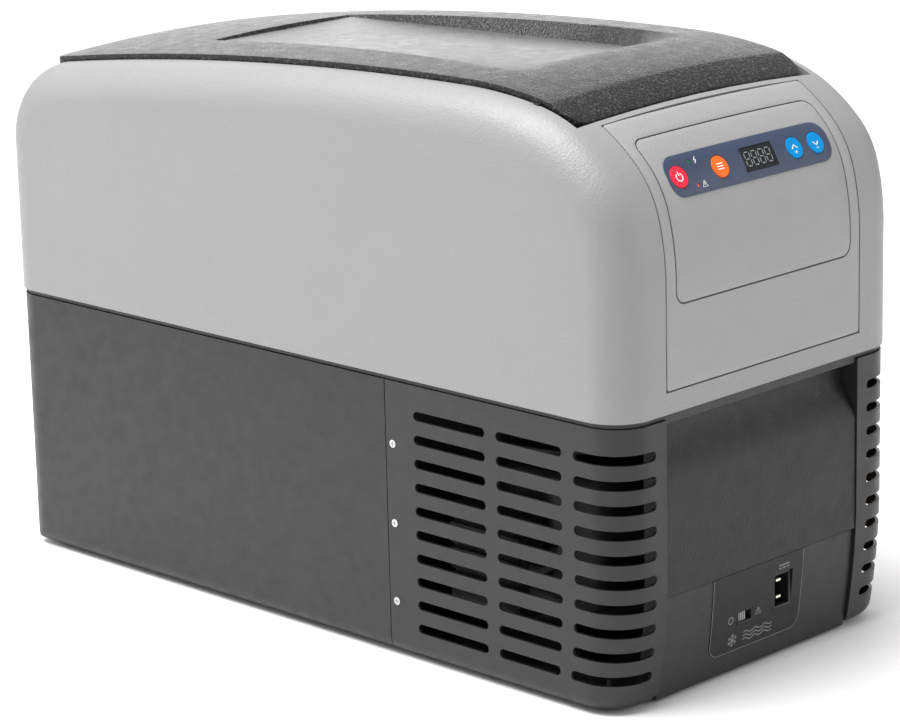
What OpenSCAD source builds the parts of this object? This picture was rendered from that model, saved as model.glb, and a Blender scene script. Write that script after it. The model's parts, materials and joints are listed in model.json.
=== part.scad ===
/* [Body] */
// Overall length of the cabinet
body_l = 549; // [540:1:560]
// Overall width of the cabinet
body_w = 260; // [256:1:266]
// Radius of the rolled edges of the light housing
edge_r = 26; // [22:1:28]
// Wall of the plastic housings
wall = 3; // [2.5:0.5:3.5]
// Height of the joint between the light and the dark housing
seam_z = 179.2; // [178:0.2:181]
// Height at which the nose turns back towards the lid
nose_z = 254.9; // [252:0.5:258]
// Height of the bulge across the width, at the middle of the lid
crown_h = 4.2; // [2:0.2:5]

/* [Lid] */
// How far the lid stands above the rim
lid_proud = 3.3; // [2.5:0.1:4]
// Depth of the recess at its end away from the hinge
recess_depth = 5.2; // [4:0.2:6]
// Half width of the smooth insert
insert_hw = 60; // [50:1:64]

/* [Controls] */
// Diameter of the four buttons
button_d = 13.6; // [12:0.2:14.4]
// Travel of a button
button_travel = 0.7; // [0.4:0.1:0.8]
// Length of the control label
label_l = 146; // [140:1:150]

/* [Vents] */
// Number of slots in a column
slot_rows = 10; // [6:1:10]
// Distance from one slot to the next
slot_pitch = 14.98; // [13:0.02:15]
// Height of a slot
slot_h = 6; // [4:0.5:7]

/* [Hidden] */

hl = body_l / 2;
hw = body_w / 2;
gap = 0.3;
big = 400;
light_grey = "#b9b9b6";
panel_grey = "#a3a3a1";
dark_grey = "#565656";
vent_grey = "#484848";
lid_grey = "#4d4e50";

// Tangent arcs of the outline, from the far end over the top to the nose: radius, first slope, last slope.
// The second radius is found from the body length.
bare_arcs = [[55, 90, 8], [0, 8, 0], [330, 0, -10], [115, -10, -45], [62, -45, -75], [150, -75, -90]];
last_arc = len(bare_arcs) - 1;
far_z = 278.7;
function arc_run(a) = a[0] * (sin(a[1]) - sin(a[2]));
function run_to(i) = i < 0 ? 0 : arc_run(bare_arcs[i]) + run_to(i - 1);
top_r = (body_l - run_to(last_arc)) / sin(bare_arcs[1][1]);
arcs = [for (a = bare_arcs) [a[0] == 0 ? top_r : a[0], a[1], a[2]]];
function normal_at(slope) = [-sin(slope), cos(slope)];
function arc_centre(i) = i == 0 ? [-hl + arcs[0][0], far_z]
    : arc_centre(i - 1) + (arcs[i - 1][0] - arcs[i][0]) * normal_at(arcs[i][1]);
centres = [for (i = [0 : last_arc]) arc_centre(i)];
arc_steps = [6, 6, 2, 5, 4, 2];
// Outline of the light housing, set in by an inset
function outline(inset) = concat(
    [[-hl + inset, seam_z]],
    [for (i = [0 : last_arc]) for (k = [(i == 0 ? 0 : 1) : arc_steps[i]])
        centres[i] + (arcs[i][0] - inset) * normal_at(arcs[i][1] + (arcs[i][2] - arcs[i][1]) * k / arc_steps[i])],
    [[hl - inset, seam_z]]);
// Height of the rim at a place along the length
function rim_z(x) = let (i = x < centres[1][0] ? 1 : x < centres[2][0] + arcs[2][0] * sin(10) ? 2 : 3)
    centres[i][1] + sqrt(pow(arcs[i][0], 2) - pow(x - centres[i][0], 2));

// Path up the nose, measured from nose_z
path_1 = arcs[5][0] * 15 * PI / 180;
path_2 = path_1 + arcs[4][0] * 30 * PI / 180;
function nose_arc(s) = s < path_1 ? 5 : s < path_2 ? 4 : 3;
function nose_slope(s) = s < 0 ? -90 : s < path_1 ? -90 + s / arcs[5][0] * 180 / PI
    : s < path_2 ? -75 + (s - path_1) / arcs[4][0] * 180 / PI
    : -45 + (s - path_2) / arcs[3][0] * 180 / PI;
function crown(y, z, slope) = crown_h * (1 - pow(y / 105, 2)) * min(1, max(0, (z - 230) / 125)) * cos(slope);
function nose_flat(s, lift) = s < 0 ? [hl + lift, nose_z + s]
    : centres[nose_arc(s)] + (arcs[nose_arc(s)][0] + lift) * normal_at(nose_slope(s));
function nose_point(s, y, lift) = let (f = nose_slope(s), p = nose_flat(s, 0),
    q = nose_flat(s, lift + crown(y, p[1], f))) [q[0], y, q[1]];
function spread(a, b, n) = [for (i = [0 : n]) a + (b - a) * i / n];
function clamp01(v) = min(1, max(0, v));

// Closed solid between two grids of points with equal rows and columns
module slab(top, bottom) {
    rows = len(top);
    cols = len(top[0]);
    n = rows * cols;
    ring = concat([for (j = [0 : cols - 1]) j],
        [for (i = [1 : rows - 1]) i * cols + cols - 1],
        [for (j = [cols - 2 : -1 : 0]) (rows - 1) * cols + j],
        [for (i = [rows - 2 : -1 : 1]) i * cols]);
    m = len(ring);
    polyhedron(points = concat([for (r = top) each r], [for (r = bottom) each r]), faces = concat(
        [for (i = [0 : rows - 2]) for (j = [0 : cols - 2]) for (t = [0, 1]) let (a = i * cols + j)
            t == 0 ? [a, a + 1, a + cols + 1] : [a, a + cols + 1, a + cols]],
        [for (i = [0 : rows - 2]) for (j = [0 : cols - 2]) for (t = [0, 1]) let (a = n + i * cols + j)
            t == 0 ? [a + cols + 1, a + 1, a] : [a + cols, a + cols + 1, a]],
        [for (k = [0 : m - 1]) for (t = [0, 1]) let (p = ring[k], q = ring[(k + 1) % m])
            t == 0 ? [q, p, p + n] : [q, p + n, q + n]]));
}
// Patch of the nose surface with rounded corners, from lift low to lift high
module nose_patch(y0, s0, s1, half, r, low, high, steps = 8, cols = 8) {
    ends = [0, r * 0.1, r * 0.3, r * 0.6, r];
    along = concat([for (e = ends) s0 + e], [for (i = [1 : steps - 1]) s0 + r + (s1 - s0 - 2 * r) * i / steps],
        [for (i = [len(ends) - 1 : -1 : 0]) s1 - ends[i]]);
    function edge(s) = let (d = min(s - s0, s1 - s)) d >= r ? half : half - r + sqrt(r * r - pow(r - d, 2));
    slab([for (s = along) [for (t = spread(-1, 1, cols)) nose_point(s, y0 + t * edge(s), high)]],
        [for (s = along) [for (t = spread(-1, 1, cols)) nose_point(s, y0 + t * edge(s), low)]]);
}
// Frame on the nose between two rounded outlines, each given as y0, s0, s1, half width and corner radius
frame_turn = 3;
frame_run = 14;
function frame_loop(o) = let (r = o[4], cy = o[3] - r, lo = o[1] + r, hi = o[2] - r) concat(
    [for (k = [0 : frame_turn]) [lo - r * cos(90 * k / frame_turn), o[0] - cy - r * sin(90 * k / frame_turn)]],
    [for (k = [1 : frame_run - 1]) [lo + (hi - lo) * k / frame_run, o[0] - cy - r]],
    [for (k = [0 : frame_turn]) [hi + r * sin(90 * k / frame_turn), o[0] - cy - r * cos(90 * k / frame_turn)]],
    [for (k = [1 : 7]) [hi + r, o[0] - cy + 2 * cy * k / 8]],
    [for (k = [0 : frame_turn]) [hi + r * cos(90 * k / frame_turn), o[0] + cy + r * sin(90 * k / frame_turn)]],
    [for (k = [1 : frame_run - 1]) [hi - (hi - lo) * k / frame_run, o[0] + cy + r]],
    [for (k = [0 : frame_turn]) [lo - r * sin(90 * k / frame_turn), o[0] + cy + r * cos(90 * k / frame_turn)]],
    [for (k = [1 : 7]) [lo - r, o[0] + cy - 2 * cy * k / 8]]);
module nose_frame(outer, inner, low, high) {
    a = frame_loop(outer);
    b = frame_loop(inner);
    n = len(a);
    rings = 3;
    function at(i, k, lift) = let (q = a[k] + (b[k] - a[k]) * i / rings) nose_point(q[0], q[1], lift);
    polyhedron(points = concat([for (i = [0 : rings]) for (k = [0 : n - 1]) at(i, k, high)],
            [for (i = [rings : -1 : 0]) for (k = [0 : n - 1]) at(i, k, low)]),
        faces = [for (i = [0 : 2 * rings + 1]) for (k = [0 : n - 1]) let (c = i * n + k, d = i * n + (k + 1) % n,
            e = ((i + 1) % (2 * rings + 2)) * n + (k + 1) % n, f = ((i + 1) % (2 * rings + 2)) * n + k)
            for (t = [0, 1]) t == 0 ? [c, e, d] : [c, f, e]]);
}
// Places children on the nose with +Z along its normal
module on_nose(s, y) {
    p = nose_point(s, y, 0);
    translate(p) rotate([0, -nose_slope(s), 0]) children();
}
module along_y(y0, y1) {
    translate([0, y1, 0]) rotate([90, 0, 0]) linear_extrude(y1 - y0) children();
}
module along_x(x0, x1) {
    translate([x0, 0, 0]) rotate([90, 0, 90]) linear_extrude(x1 - x0) children();
}
module span(x0, x1, y0, y1, z0, z1) {
    translate([x0, y0, z0]) cube([x1 - x0, y1 - y0, z1 - z0]);
}
// Upright block with rounded corners
module pillow(x0, x1, y0, y1, z0, z1, r) {
    translate([0, 0, z0]) linear_extrude(z1 - z0) round_plan(x0, x1, y0, y1, r);
}
module round_plan(x0, x1, y0, y1, r) {
    translate([x0 + r, y0]) square([x1 - x0 - 2 * r, y1 - y0]);
    translate([x0, y0 + r]) square([x1 - x0, y1 - y0 - 2 * r]);
    for (x = [x0 + r, x1 - r]) for (y = [y0 + r, y1 - r]) translate([x, y]) circle(r, $fn = 48);
}
// Route through hand-set points, rounded by a cubic between each pair
bend_steps = 4;
function route(p) = let (n = len(p)) concat([for (i = [0 : n - 2]) for (k = [0 : bend_steps - 1])
    let (t = k / bend_steps, a = p[max(0, i - 1)], b = p[i], c = p[i + 1], d = p[min(n - 1, i + 2)])
    b + 0.5 * t * (c - a + t * (2 * a - 5 * b + 4 * c - d + t * (3 * (b - c) + d - a)))], [p[n - 1]]);
function unit(v) = v / norm(v);
// Round tube swept along a route
pipe_sides = 8;
module pipe(points, r) {
    p = route(points);
    n = len(p);
    lean = [0.31, 0.53, 0.79];
    polyhedron(points = [for (i = [0 : n - 1]) let (t = unit(p[min(n - 1, i + 1)] - p[max(0, i - 1)]),
            u = unit(cross(t, lean)), v = cross(t, u)) for (k = [0 : pipe_sides - 1])
            p[i] + r * (u * cos(360 * k / pipe_sides) + v * sin(360 * k / pipe_sides))],
        faces = concat([[for (k = [0 : pipe_sides - 1]) k]],
            [for (i = [0 : n - 2]) for (k = [0 : pipe_sides - 1]) let (a = i * pipe_sides + k,
                b = i * pipe_sides + (k + 1) % pipe_sides) for (t = [0, 1])
                t == 0 ? [a, a + pipe_sides, b + pipe_sides] : [a, b + pipe_sides, b]],
            [[for (k = [pipe_sides - 1 : -1 : 0]) (n - 1) * pipe_sides + k]]));
}

// ---- light housing ----
fillet_steps = 5;
// Solid of the light housing, set in on every side
module upper_solid(inset) {
    r = edge_r - inset;
    turn = spread(0, 90, fillet_steps);
    half = hw - edge_r;
    rim = concat([for (i = [fillet_steps : -1 : 0]) [r * (1 - cos(turn[i])), -half - r * sin(turn[i])]],
        [for (i = [0 : fillet_steps]) [r * (1 - cos(turn[i])), half + r * sin(turn[i])]]);
    lines = [for (c = rim) let (o = outline(inset + c[0])) [for (p = o) [p[0], c[1], p[1]]]];
    rows = len(lines[0]);
    cols = len(lines);
    n = rows * cols;
    polyhedron(points = [for (i = [0 : rows - 1]) for (j = [0 : cols - 1]) lines[j][i]], faces = concat(
        [for (i = [0 : rows - 2]) for (j = [0 : cols - 2]) let (a = i * cols + j)
            [a, a + 1, a + cols + 1, a + cols]],
        [[for (i = [0 : rows - 1]) i * cols]],
        [[for (i = [rows - 1 : -1 : 0]) i * cols + cols - 1]],
        [concat([for (j = [cols - 1 : -1 : 0]) j], [for (j = [0 : cols - 1]) n - cols + j])]));
}
open_x0 = -243.5;
open_x1 = 223;
open_hw = 106;
well_x = 172.5;
well_z = 308;
flange_z = 323;
finger_hw = 28;
finger_x = -264;
finger_z = 316;
fascia_hw = 89.5;
fascia_z = 192;
fascia_x = 226.3;
module upper_shell() {
    color(light_grey) difference() {
        union() {
            difference() {
                upper_solid(0);
                translate([0, 0, -1]) upper_solid(wall);
                span(-hl + wall, hl - wall, -hw + wall, hw - wall, seam_z - 2, seam_z + 3);
            }
            intersection() {
                upper_solid(0.6);
                union() {
                    difference() {
                        span(open_x0 - wall, open_x1 + wall, -open_hw - wall, open_hw + wall, flange_z - 4, big);
                        span(open_x0, open_x1, -open_hw, open_hw, flange_z - 5, big);
                    }
                    difference() {
                        span(well_x - wall, open_x1 + wall, -open_hw - wall, open_hw + wall, well_z - wall,
                            flange_z - 4);
                        span(well_x, open_x1, -open_hw, open_hw, well_z, big);
                    }
                    difference() {
                        span(finger_x - wall, open_x0, -finger_hw - wall, finger_hw + wall, finger_z - wall, big);
                        span(finger_x, open_x0 + 1, -finger_hw, finger_hw, finger_z, big);
                    }
                }
            }
        }
        span(open_x0, open_x1, -open_hw, open_hw, flange_z - 1, big);
        span(finger_x, open_x0 + 1, -finger_hw, finger_hw, finger_z, big);
        span(fascia_x, big, -fascia_hw, fascia_hw, fascia_z, big);
    }
}

// ---- nose panel and controls ----
fascia_top_s = 104.6;
bezel_hw = 80.5;
bezel_low = -13;
bezel_top = 89.5;
button_s = 59.5;
button_ys = [-63, -27.1, 41.1, 61.2];
label_y = 1;
light_y = -50;
window_y = 8.2;
label_s0 = 47.2;
label_s1 = 72.8;
skin = 2.6;
label_t = 0.5;
label_r = 10;
module front_fascia() {
    color(panel_grey) nose_frame([0, fascia_z - nose_z + gap, fascia_top_s, fascia_hw - gap, 2],
        [0, bezel_low, bezel_top, bezel_hw, 8], -skin, 0);
}
module button_holes(extra) {
    for (y = button_ys) on_nose(button_s, y)
        translate([0, 0, -8]) cylinder(16, button_d / 2 + extra, button_d / 2 + extra, $fn = 48);
}
module light_holes(r) {
    on_nose(66.9, light_y) translate([0, 0, -8]) cylinder(16, r, r, $fn = 24);
    on_nose(52.1, light_y) translate([0, 0, -8]) cylinder(16, r, r, $fn = 24);
}
window_s = 59.6;
window_l = 29;
window_h = 14.6;
module window_hole(extra) {
    on_nose(window_s, window_y) translate([-window_h / 2 - extra, -window_l / 2 - extra, -8])
        cube([window_h + 2 * extra, window_l + 2 * extra, 16]);
}
module control_bezel() {
    color(panel_grey) difference() {
        nose_patch(0, bezel_low + gap, bezel_top - gap, bezel_hw - gap, 8, -skin, 0, 9, 8);
        button_holes(0.4);
        light_holes(1.4);
        window_hole(0.2);
    }
}
module control_label() {
    color("#48526a") difference() {
        nose_patch(label_y, label_s0, label_s1, label_l / 2, label_r, 0.02, label_t, 3, 8);
        button_holes(0.3);
        light_holes(1.4);
        window_hole(0.2);
    }
}
module display_window() {
    color("#1c2026") on_nose(window_s, window_y)
        translate([-window_h / 2, -window_l / 2, -1.4]) cube([window_h, window_l, 1.6]);
}
module display_module() {
    color("#8b9096") on_nose(window_s, window_y) translate([-7, -13.5, -6.5]) cube([14, 27, 5]);
}
module indicator(s) {
    on_nose(s, light_y) {
        translate([0, 0, -7.3]) cylinder(7.5, 1.25, 1.25, $fn = 24);
        translate([0, 0, -7.3]) cylinder(1, 1.8, 1.8, $fn = 24);
    }
}
module power_light() {
    color("#30c060") indicator(66.9);
}
module error_light() {
    color("#e03030") indicator(52.1);
}
module button(y) {
    on_nose(button_s, y) {
        translate([0, 0, -4.6]) cylinder(5.4, button_d / 2, button_d / 2, $fn = 64);
        translate([0, 0, -5.2]) cylinder(1.2, button_d / 2 + 1.2, button_d / 2 + 1.2, $fn = 64);
    }
}
module power_button() {
    color("#e23e50") button(button_ys[0]);
}
module set_button() {
    color("#f58232") button(button_ys[1]);
}
module up_button() {
    color("#0090d8") button(button_ys[2]);
}
module down_button() {
    color("#0090d8") button(button_ys[3]);
}
board_depth = -10.5;
board_hw = 74;
module control_board() {
    color("#1f5a36") on_nose(button_s, 0) difference() {
        translate([-17, -board_hw, board_depth - 2.2]) cube([34, 2 * board_hw, 1.6]);
        for (y = [-board_hw + 4, board_hw - 4]) translate([0, y, board_depth - 3])
            cylinder(4, 1.5, 1.5, $fn = 24);
    }
}
module button_switches() {
    color("#303236") for (y = button_ys) on_nose(button_s, y) {
        down = nose_point(button_s, y, 0) - nose_point(button_s, 0, 0);
        sink = down[2] / cos(nose_slope(button_s));
        h = board_depth - 0.6 - sink;
        translate([-3, -3, h]) cube([6, 6, -9.2 - h]);
        translate([0, 0, -9.2]) cylinder(3, 1.7, 1.7, $fn = 24);
    }
}
module board_screws() {
    color("#c8c8c8") on_nose(button_s, 0) for (y = [-board_hw + 4, board_hw - 4]) translate([0, y, 0]) {
        translate([0, 0, board_depth - 0.6]) cylinder(3, 1.5, 1.5, $fn = 24);
        translate([0, 0, board_depth - 3.9]) cylinder(5, 1.5, 1.5, $fn = 24);
        translate([0, 0, board_depth - 3.9]) cylinder(1.7, 2.8, 2.8, $fn = 24);
    }
}

// ---- dark housing ----
low_hl = 273.8;
low_hw = 128.4;
low_r = 25;
floor_z = 2;
low_top = 175.8;
curve_z = 90;
curve_r = 480;
far_r = 26;
side_r = 9;
function arc_points(cx, cy, r, a, b, n) = [for (t = spread(a, b, n)) [cx + r * cos(t), cy + r * sin(t)]];
curve_in = asin((curve_z - floor_z) / curve_r);
// Side view of the dark housing
function low_side(e) = concat(
    [[-low_hl + e, low_top]],
    arc_points(-low_hl + far_r, floor_z + far_r, far_r - e, 180, 270, 6),
    [[low_hl - curve_r * (1 - cos(curve_in)) - 6, floor_z + e]],
    arc_points(low_hl - curve_r, curve_z, curve_r - e, -curve_in + 0.7, 0, 5),
    [[low_hl - e, low_top]]);
function low_section(e) = concat(
    [[-low_hw + e, low_top]],
    arc_points(-low_hw + side_r, floor_z + side_r, side_r - e, 180, 270, 4),
    arc_points(low_hw - side_r, floor_z + side_r, side_r - e, 270, 360, 4),
    [[low_hw - e, low_top]]);
module low_solid(e) {
    intersection() {
        pillow(-low_hl + e, low_hl - e, -low_hw + e, low_hw - e, floor_z, low_top + 1, low_r - e);
        along_y(-hw, hw) polygon(low_side(e));
        along_x(-hl, hl) polygon(low_section(e));
    }
}
module low_skin() {
    difference() {
        low_solid(0);
        translate([0, 0, 0.01]) low_solid(wall);
        span(-low_hl + wall + 3, low_hl - wall - 3, -low_hw + wall + 3, low_hw - wall - 3, low_top - 2, big);
    }
}
cover_x = 83;
grip_hw = 88.5;
base_hw = 112;
base_x1 = 258;
service_z = 67.6;
module lower_shell() {
    color(dark_grey) difference() {
        intersection() {
            low_skin();
            span(-big, cover_x - gap, -big, big, 0, big);
        }
        for (y = [-98, 98]) translate([-236, y, 0]) cylinder(8, 2.1, 2.1, $fn = 24);
    }
}
frame_hl = 270.6;
frame_hw = 126.4;
// Lip across the top of the grip, under the light shell
lip_z = 173;
module mid_frame() {
    color(vent_grey) difference() {
        union() {
            pillow(-frame_hl - 1.4, frame_hl + 1.6, -frame_hw - 1, frame_hw + 1, low_top, seam_z, 23);
            pillow(-frame_hl + 0.7, frame_hl - 0.7, -frame_hw + 0.3, frame_hw - 0.3, low_top, seam_z + 6, 21);
        }
        pillow(-frame_hl + 4, frame_hl - 14, -frame_hw + 4, frame_hw - 4, low_top - 1, seam_z + 7, 18);
    }
    color(vent_grey) span(frame_hl - 12, frame_hl + 1.6, -grip_hw + 0.4, grip_hw - 0.4, lip_z, low_top + 0.2);
}
screw_x = 89;
screw_zs = [35.8, 85.8, 136.2];
module stadium(x0, x1, z) {
    r = slot_h / 2;
    translate([x0 + r, z - r]) square([x1 - x0 - slot_h, slot_h]);
    for (x = [x0 + r, x1 - r]) translate([x, z]) circle(r, $fn = 32);
}
module vent_slots() {
    r = slot_h / 2;
    for (k = [0 : slot_rows - 1]) {
        z = 157 - slot_pitch * k;
        along_y(-hw - 2, -low_hw + wall + 2) stadium(107.1, 166.1, z);
        along_y(-hw - 2, -low_hw + wall + 2) stadium(175.2, 227.5, z);
        span(236.6 + r, hl + 2, -hw - 2, -98 - r, z - r, z + r);
        translate([236.6 + r, -low_hw + 6, z]) rotate([90, 0, 0]) cylinder(8, r, r, $fn = 32);
        translate([hl - 16, -98 - r, z]) rotate([0, 90, 0]) cylinder(18, r, r, $fn = 32);
    }
}
cheek_x = 257;
module vent_cover() {
    color(vent_grey) difference() {
        union() {
            intersection() {
                low_skin();
                span(cover_x + gap, big, -big, -grip_hw - gap, 0, big);
            }
            intersection() {
                low_solid(0);
                span(cheek_x, big, -grip_hw - gap - 2.4, -grip_hw - gap, floor_z, low_top);
            }
        }
        span(0, base_x1, -base_hw, 0, 0, 8);
        vent_slots();
        for (z = screw_zs) translate([screw_x, -low_hw + 6, z]) rotate([90, 0, 0]) {
            cylinder(8, 1.5, 1.5, $fn = 24);
            translate([0, 0, 5]) cylinder(3, 2.7, 2.7, $fn = 24);
        }
    }
}
module vent_cover_left() {
    vent_cover();
}
module vent_cover_right() {
    mirror([0, 1, 0]) vent_cover();
}
module vent_cover_screws() {
    color("#c9c9c9") for (m = [0, 1]) mirror([0, m, 0]) for (z = screw_zs)
        translate([screw_x, -low_hw + 1, z]) rotate([90, 0, 0]) difference() {
            union() {
                translate([0, 0, -6]) cylinder(6.5, 1.5, 1.5, $fn = 24);
                cylinder(1.3, 2.5, 2.5, $fn = 32);
            }
            for (a = [0, 90]) rotate([0, 0, a]) translate([-1.5, -0.25, 0.6]) cube([3, 0.5, 1]);
        }
}
// Side view of the grip panel's outer face, from the bottom up
grip_face = [[272.6, service_z], [272.8, 136], [268.1, 148.6], [262, 160], [261, 166], [261, lip_z - 0.2]];
module grip_panel() {
    color(vent_grey) along_y(-grip_hw, grip_hw) polygon(concat(grip_face,
        [for (i = [len(grip_face) - 1 : -1 : 0]) grip_face[i] - [2.8, i == 5 ? 0 : i > 1 ? 1 : 0]]));
}
panel_x = 271.6;
socket_y = 21.9;
socket_z = 44.1;
switch_y = -13;
switch_z = 36.3;
module panel_curve(out, thick) {
    polygon(concat(
        arc_points(panel_x - curve_r + out, curve_z, curve_r, -curve_in, -2.8, 4),
        [for (t = spread(-2.8, -curve_in, 4)) [panel_x - curve_r + out - thick + curve_r * cos(t),
            curve_z + curve_r * sin(t)]]));
}
module service_panel() {
    color(dark_grey) difference() {
        along_y(-grip_hw, grip_hw) panel_curve(0, wall);
        span(250, 280, socket_y - 9, socket_y + 9, socket_z - 12, socket_z + 12);
        span(250, 280, switch_y - 7.2, switch_y + 7.2, switch_z - 4.5, switch_z + 4.5);
    }
}
module socket_label() {
    color("#5c5c5c") difference() {
        intersection() {
            along_y(-44.5, 40.6) panel_curve(0.35, 0.3);
            along_x(240, 290) round_plan(-44.5, 40.6, 15, 90, 9);
            span(240, 290, -60, 60, 0, 66.4);
        }
        span(250, 280, socket_y - 8.6, socket_y + 8.6, socket_z - 11.6, socket_z + 11.6);
        span(250, 280, switch_y - 7, switch_y + 7, switch_z - 4.1, switch_z + 4.1);
    }
}
socket_x = 266.8;
pin_zs = [-5.3, 5.3];
pin_hw = 2.2;
pin_ht = 0.8;
module dc_socket() {
    color("#1b1b1c") difference() {
        union() {
            span(socket_x - 20, socket_x + 2.2, socket_y - 8.4, socket_y + 8.4, socket_z - 11.4,
                socket_z + 11.4);
            span(socket_x - 5, socket_x - 2.4, socket_y - 12, socket_y + 12, socket_z - 14, socket_z + 14);
        }
        span(socket_x - 14, big, socket_y - 6.6, socket_y + 6.6, socket_z - 9.6, socket_z + 9.6);
        for (z = pin_zs) span(socket_x - 22, socket_x - 13, socket_y - pin_hw, socket_y + pin_hw,
            socket_z + z - pin_ht, socket_z + z + pin_ht);
    }
}
module socket_pins() {
    color("#d0c070") for (z = pin_zs) span(socket_x - 28, socket_x - 0.4, socket_y - pin_hw, socket_y + pin_hw,
        socket_z + z - pin_ht, socket_z + z + pin_ht);
}
switch_travel = 3.6;
module override_switch() {
    color("#26272a") difference() {
        span(socket_x - 12, socket_x + 2.2, switch_y - 6.8, switch_y + 6.8, switch_z - 3.9, switch_z + 3.9);
        span(socket_x - 8, big, switch_y - 5.9, switch_y + 5.9, switch_z - 3, switch_z + 3);
    }
}
module override_knob() {
    color("#b8babd") {
        span(socket_x - 7.8, socket_x - 1.2, switch_y - 5.7, switch_y + 1.9, switch_z - 2.7, switch_z + 2.7);
        for (y = [-5.6 : 1.9 : 1]) span(socket_x - 1.4, socket_x + 1.2, switch_y + y, switch_y + y + 1.1,
            switch_z - 2.6, switch_z + 2.6);
    }
}

// ---- floor, feet and cold space ----
mount_xy = [[112, -78], [112, 8], [196, -78], [196, 8]];
module base_plate() {
    color("#8a8d90") difference() {
        span(cover_x + gap, base_x1 - gap, -base_hw + gap, base_hw - gap, 4, 7.5);
        for (p = mount_xy) translate([p[0], p[1], 3]) cylinder(6, 3, 3, $fn = 32);
        for (y = [-98, 98]) translate([236, y, 3]) cylinder(6, 2, 2, $fn = 32);
        for (x = [120 : 12 : 204]) span(x, x + 5, 40, 88, 0, 10);
    }
}
feet_xy = [[-236, -98], [-236, 98], [236, -98], [236, 98]];
module rubber_feet() {
    color("#202020") for (p = feet_xy) translate([p[0], p[1], 0]) difference() {
        top = p[0] < 0 ? floor_z : 4;
        cylinder(top, 11, 11, $fn = 64);
        translate([0, 0, -1]) cylinder(2, 4.4, 4.4, $fn = 32);
        cylinder(10, 2, 2, $fn = 32);
    }
}
module foot_screws() {
    color("#bdbdbd") for (p = feet_xy) translate([p[0], p[1], 1]) {
        cylinder(p[0] < 0 ? 6.5 : 11, 2, 2, $fn = 24);
        translate([0, 0, -0.7]) cylinder(0.7, 4, 4, $fn = 32);
    }
}
tub_x0 = -236;
tub_x1 = 44;
step_x1 = 160;
tub_hw = 90;
tub_z = 42;
step_z = 262;
liner_t = 2;
tub_r = 18;
module tub(e, top) {
    pillow(tub_x0 - e, tub_x1 + e, -tub_hw - e, tub_hw + e, tub_z - e, top, tub_r + e);
    pillow(tub_x0 - e, step_x1 + e, -tub_hw - e, tub_hw + e, step_z - e, top, tub_r + e);
}
module inner_liner() {
    color("#d9dbdc") difference() {
        union() {
            tub(liner_t, flange_z);
            span(open_x0 + gap, well_x - wall - gap, -open_hw + gap, open_hw - gap, flange_z - 2.5, flange_z);
        }
        tub(0, big);
    }
}
shelf_z = 226;
module insulation() {
    color("#e8dcae") difference() {
        union() {
            intersection() {
                low_solid(wall + 0.8);
                span(-268.5, 66, -123, 123, 8, 172);
            }
            pillow(-262, 66, -121.5, 121.5, 172, 262, 15);
            pillow(-262, 164, -121.5, 121.5, shelf_z + 4, 262, 15);
            pillow(-252, 164, -108, 108, 262, 302, 15);
            span(finger_x + 14, 164, -105, 105, 302, 311);
        }
        tub(liner_t + 0.2, big);
        span(finger_x - wall - 1, tub_x0 - 4, -finger_hw - wall - 1, finger_hw + wall + 1, 300, big);
        span(tub_x0 - 5, tub_x1 - 5, -tub_hw - 4.2, tub_hw + 4.2, 60, 236);
        span(tub_x1, tub_x1 + 30, 60, 76, 188, 219);
        span(tub_x1 - 20, tub_x1 + 30, 92, 110, 150, 166);
    }
}
module evaporator() {
    color("#c4c8cc") difference() {
        span(tub_x0 - 4.4, tub_x1 - 8, -tub_hw - 3.8, tub_hw + 3.8, 64, 232);
        span(tub_x0 - 2.6, tub_x1, -tub_hw - 2.2, tub_hw + 2.2, 60, 240);
    }
}
module temperature_probe() {
    color("#d8d8d8") {
        translate([tub_x1 + liner_t + 3, 68, 190]) cylinder(26, 2.6, 2.6, $fn = 24);
        pipe([[tub_x1 + liner_t + 3, 68, 214], [tub_x1 + 12, 68, 210], [tub_x1 + 24, 68, 204], [84, 68, 204]], 1.2);
    }
}
module partition() {
    color("#9a9c9e") difference() {
        union() {
            span(72, 74, -122, 122, 12, shelf_z + 2);
            span(72, 168, -122, 122, shelf_z, shelf_z + 2);
            for (m = [0, 1]) mirror([0, m, 0]) {
                span(72, 98, -125, -122, 22, 166);
                span(74, 168, -122, -120, 214, shelf_z);
            }
        }
        for (m = [0, 1]) mirror([0, m, 0]) for (z = screw_zs)
            translate([screw_x, -120, z]) rotate([90, 0, 0]) cylinder(8, 1.5, 1.5, $fn = 24);
        translate([70, 68, 204]) rotate([0, 90, 0]) cylinder(6, 2, 2, $fn = 24);
        translate([70, 98, 157.4]) rotate([0, 90, 0]) cylinder(6, 6, 6, $fn = 24);
    }
}

// ---- refrigeration ----
pot_x = 154;
pot_y = -35;
module compressor_shell() {
    color("#1e1f21") translate([pot_x, pot_y, 0]) {
        translate([0, 0, 18]) rotate_extrude($fn = 96) difference() {
            union() {
                square([40, 116]);
                translate([0, 18]) square([56, 78]);
                translate([38, 18]) circle(18, $fn = 48);
                translate([38, 96]) circle(18, $fn = 48);
                translate([0, 56]) square([58, 5]);
            }
            translate([-80, -10]) square([80, 200]);
        }
        translate([0, -53, 46]) rotate([90, 0, 0]) cylinder(16, 3.2, 3.2, $fn = 24);
        translate([24, 50, 92]) rotate([-90, 0, 0]) cylinder(14, 4, 4, $fn = 24);
        translate([-24, 50, 70]) rotate([-90, 0, 0]) cylinder(14, 3.2, 3.2, $fn = 24);
    }
}
module compressor_foot() {
    color("#2c2d30") difference() {
        union() {
            span(104, 204, -89, 19, 15, 18);
            for (y = [-89, 16]) span(104, 204, y, y + 3, 15, 21);
        }
        for (p = mount_xy) translate([p[0], p[1], 10]) cylinder(20, 5, 5, $fn = 32);
    }
}
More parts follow.
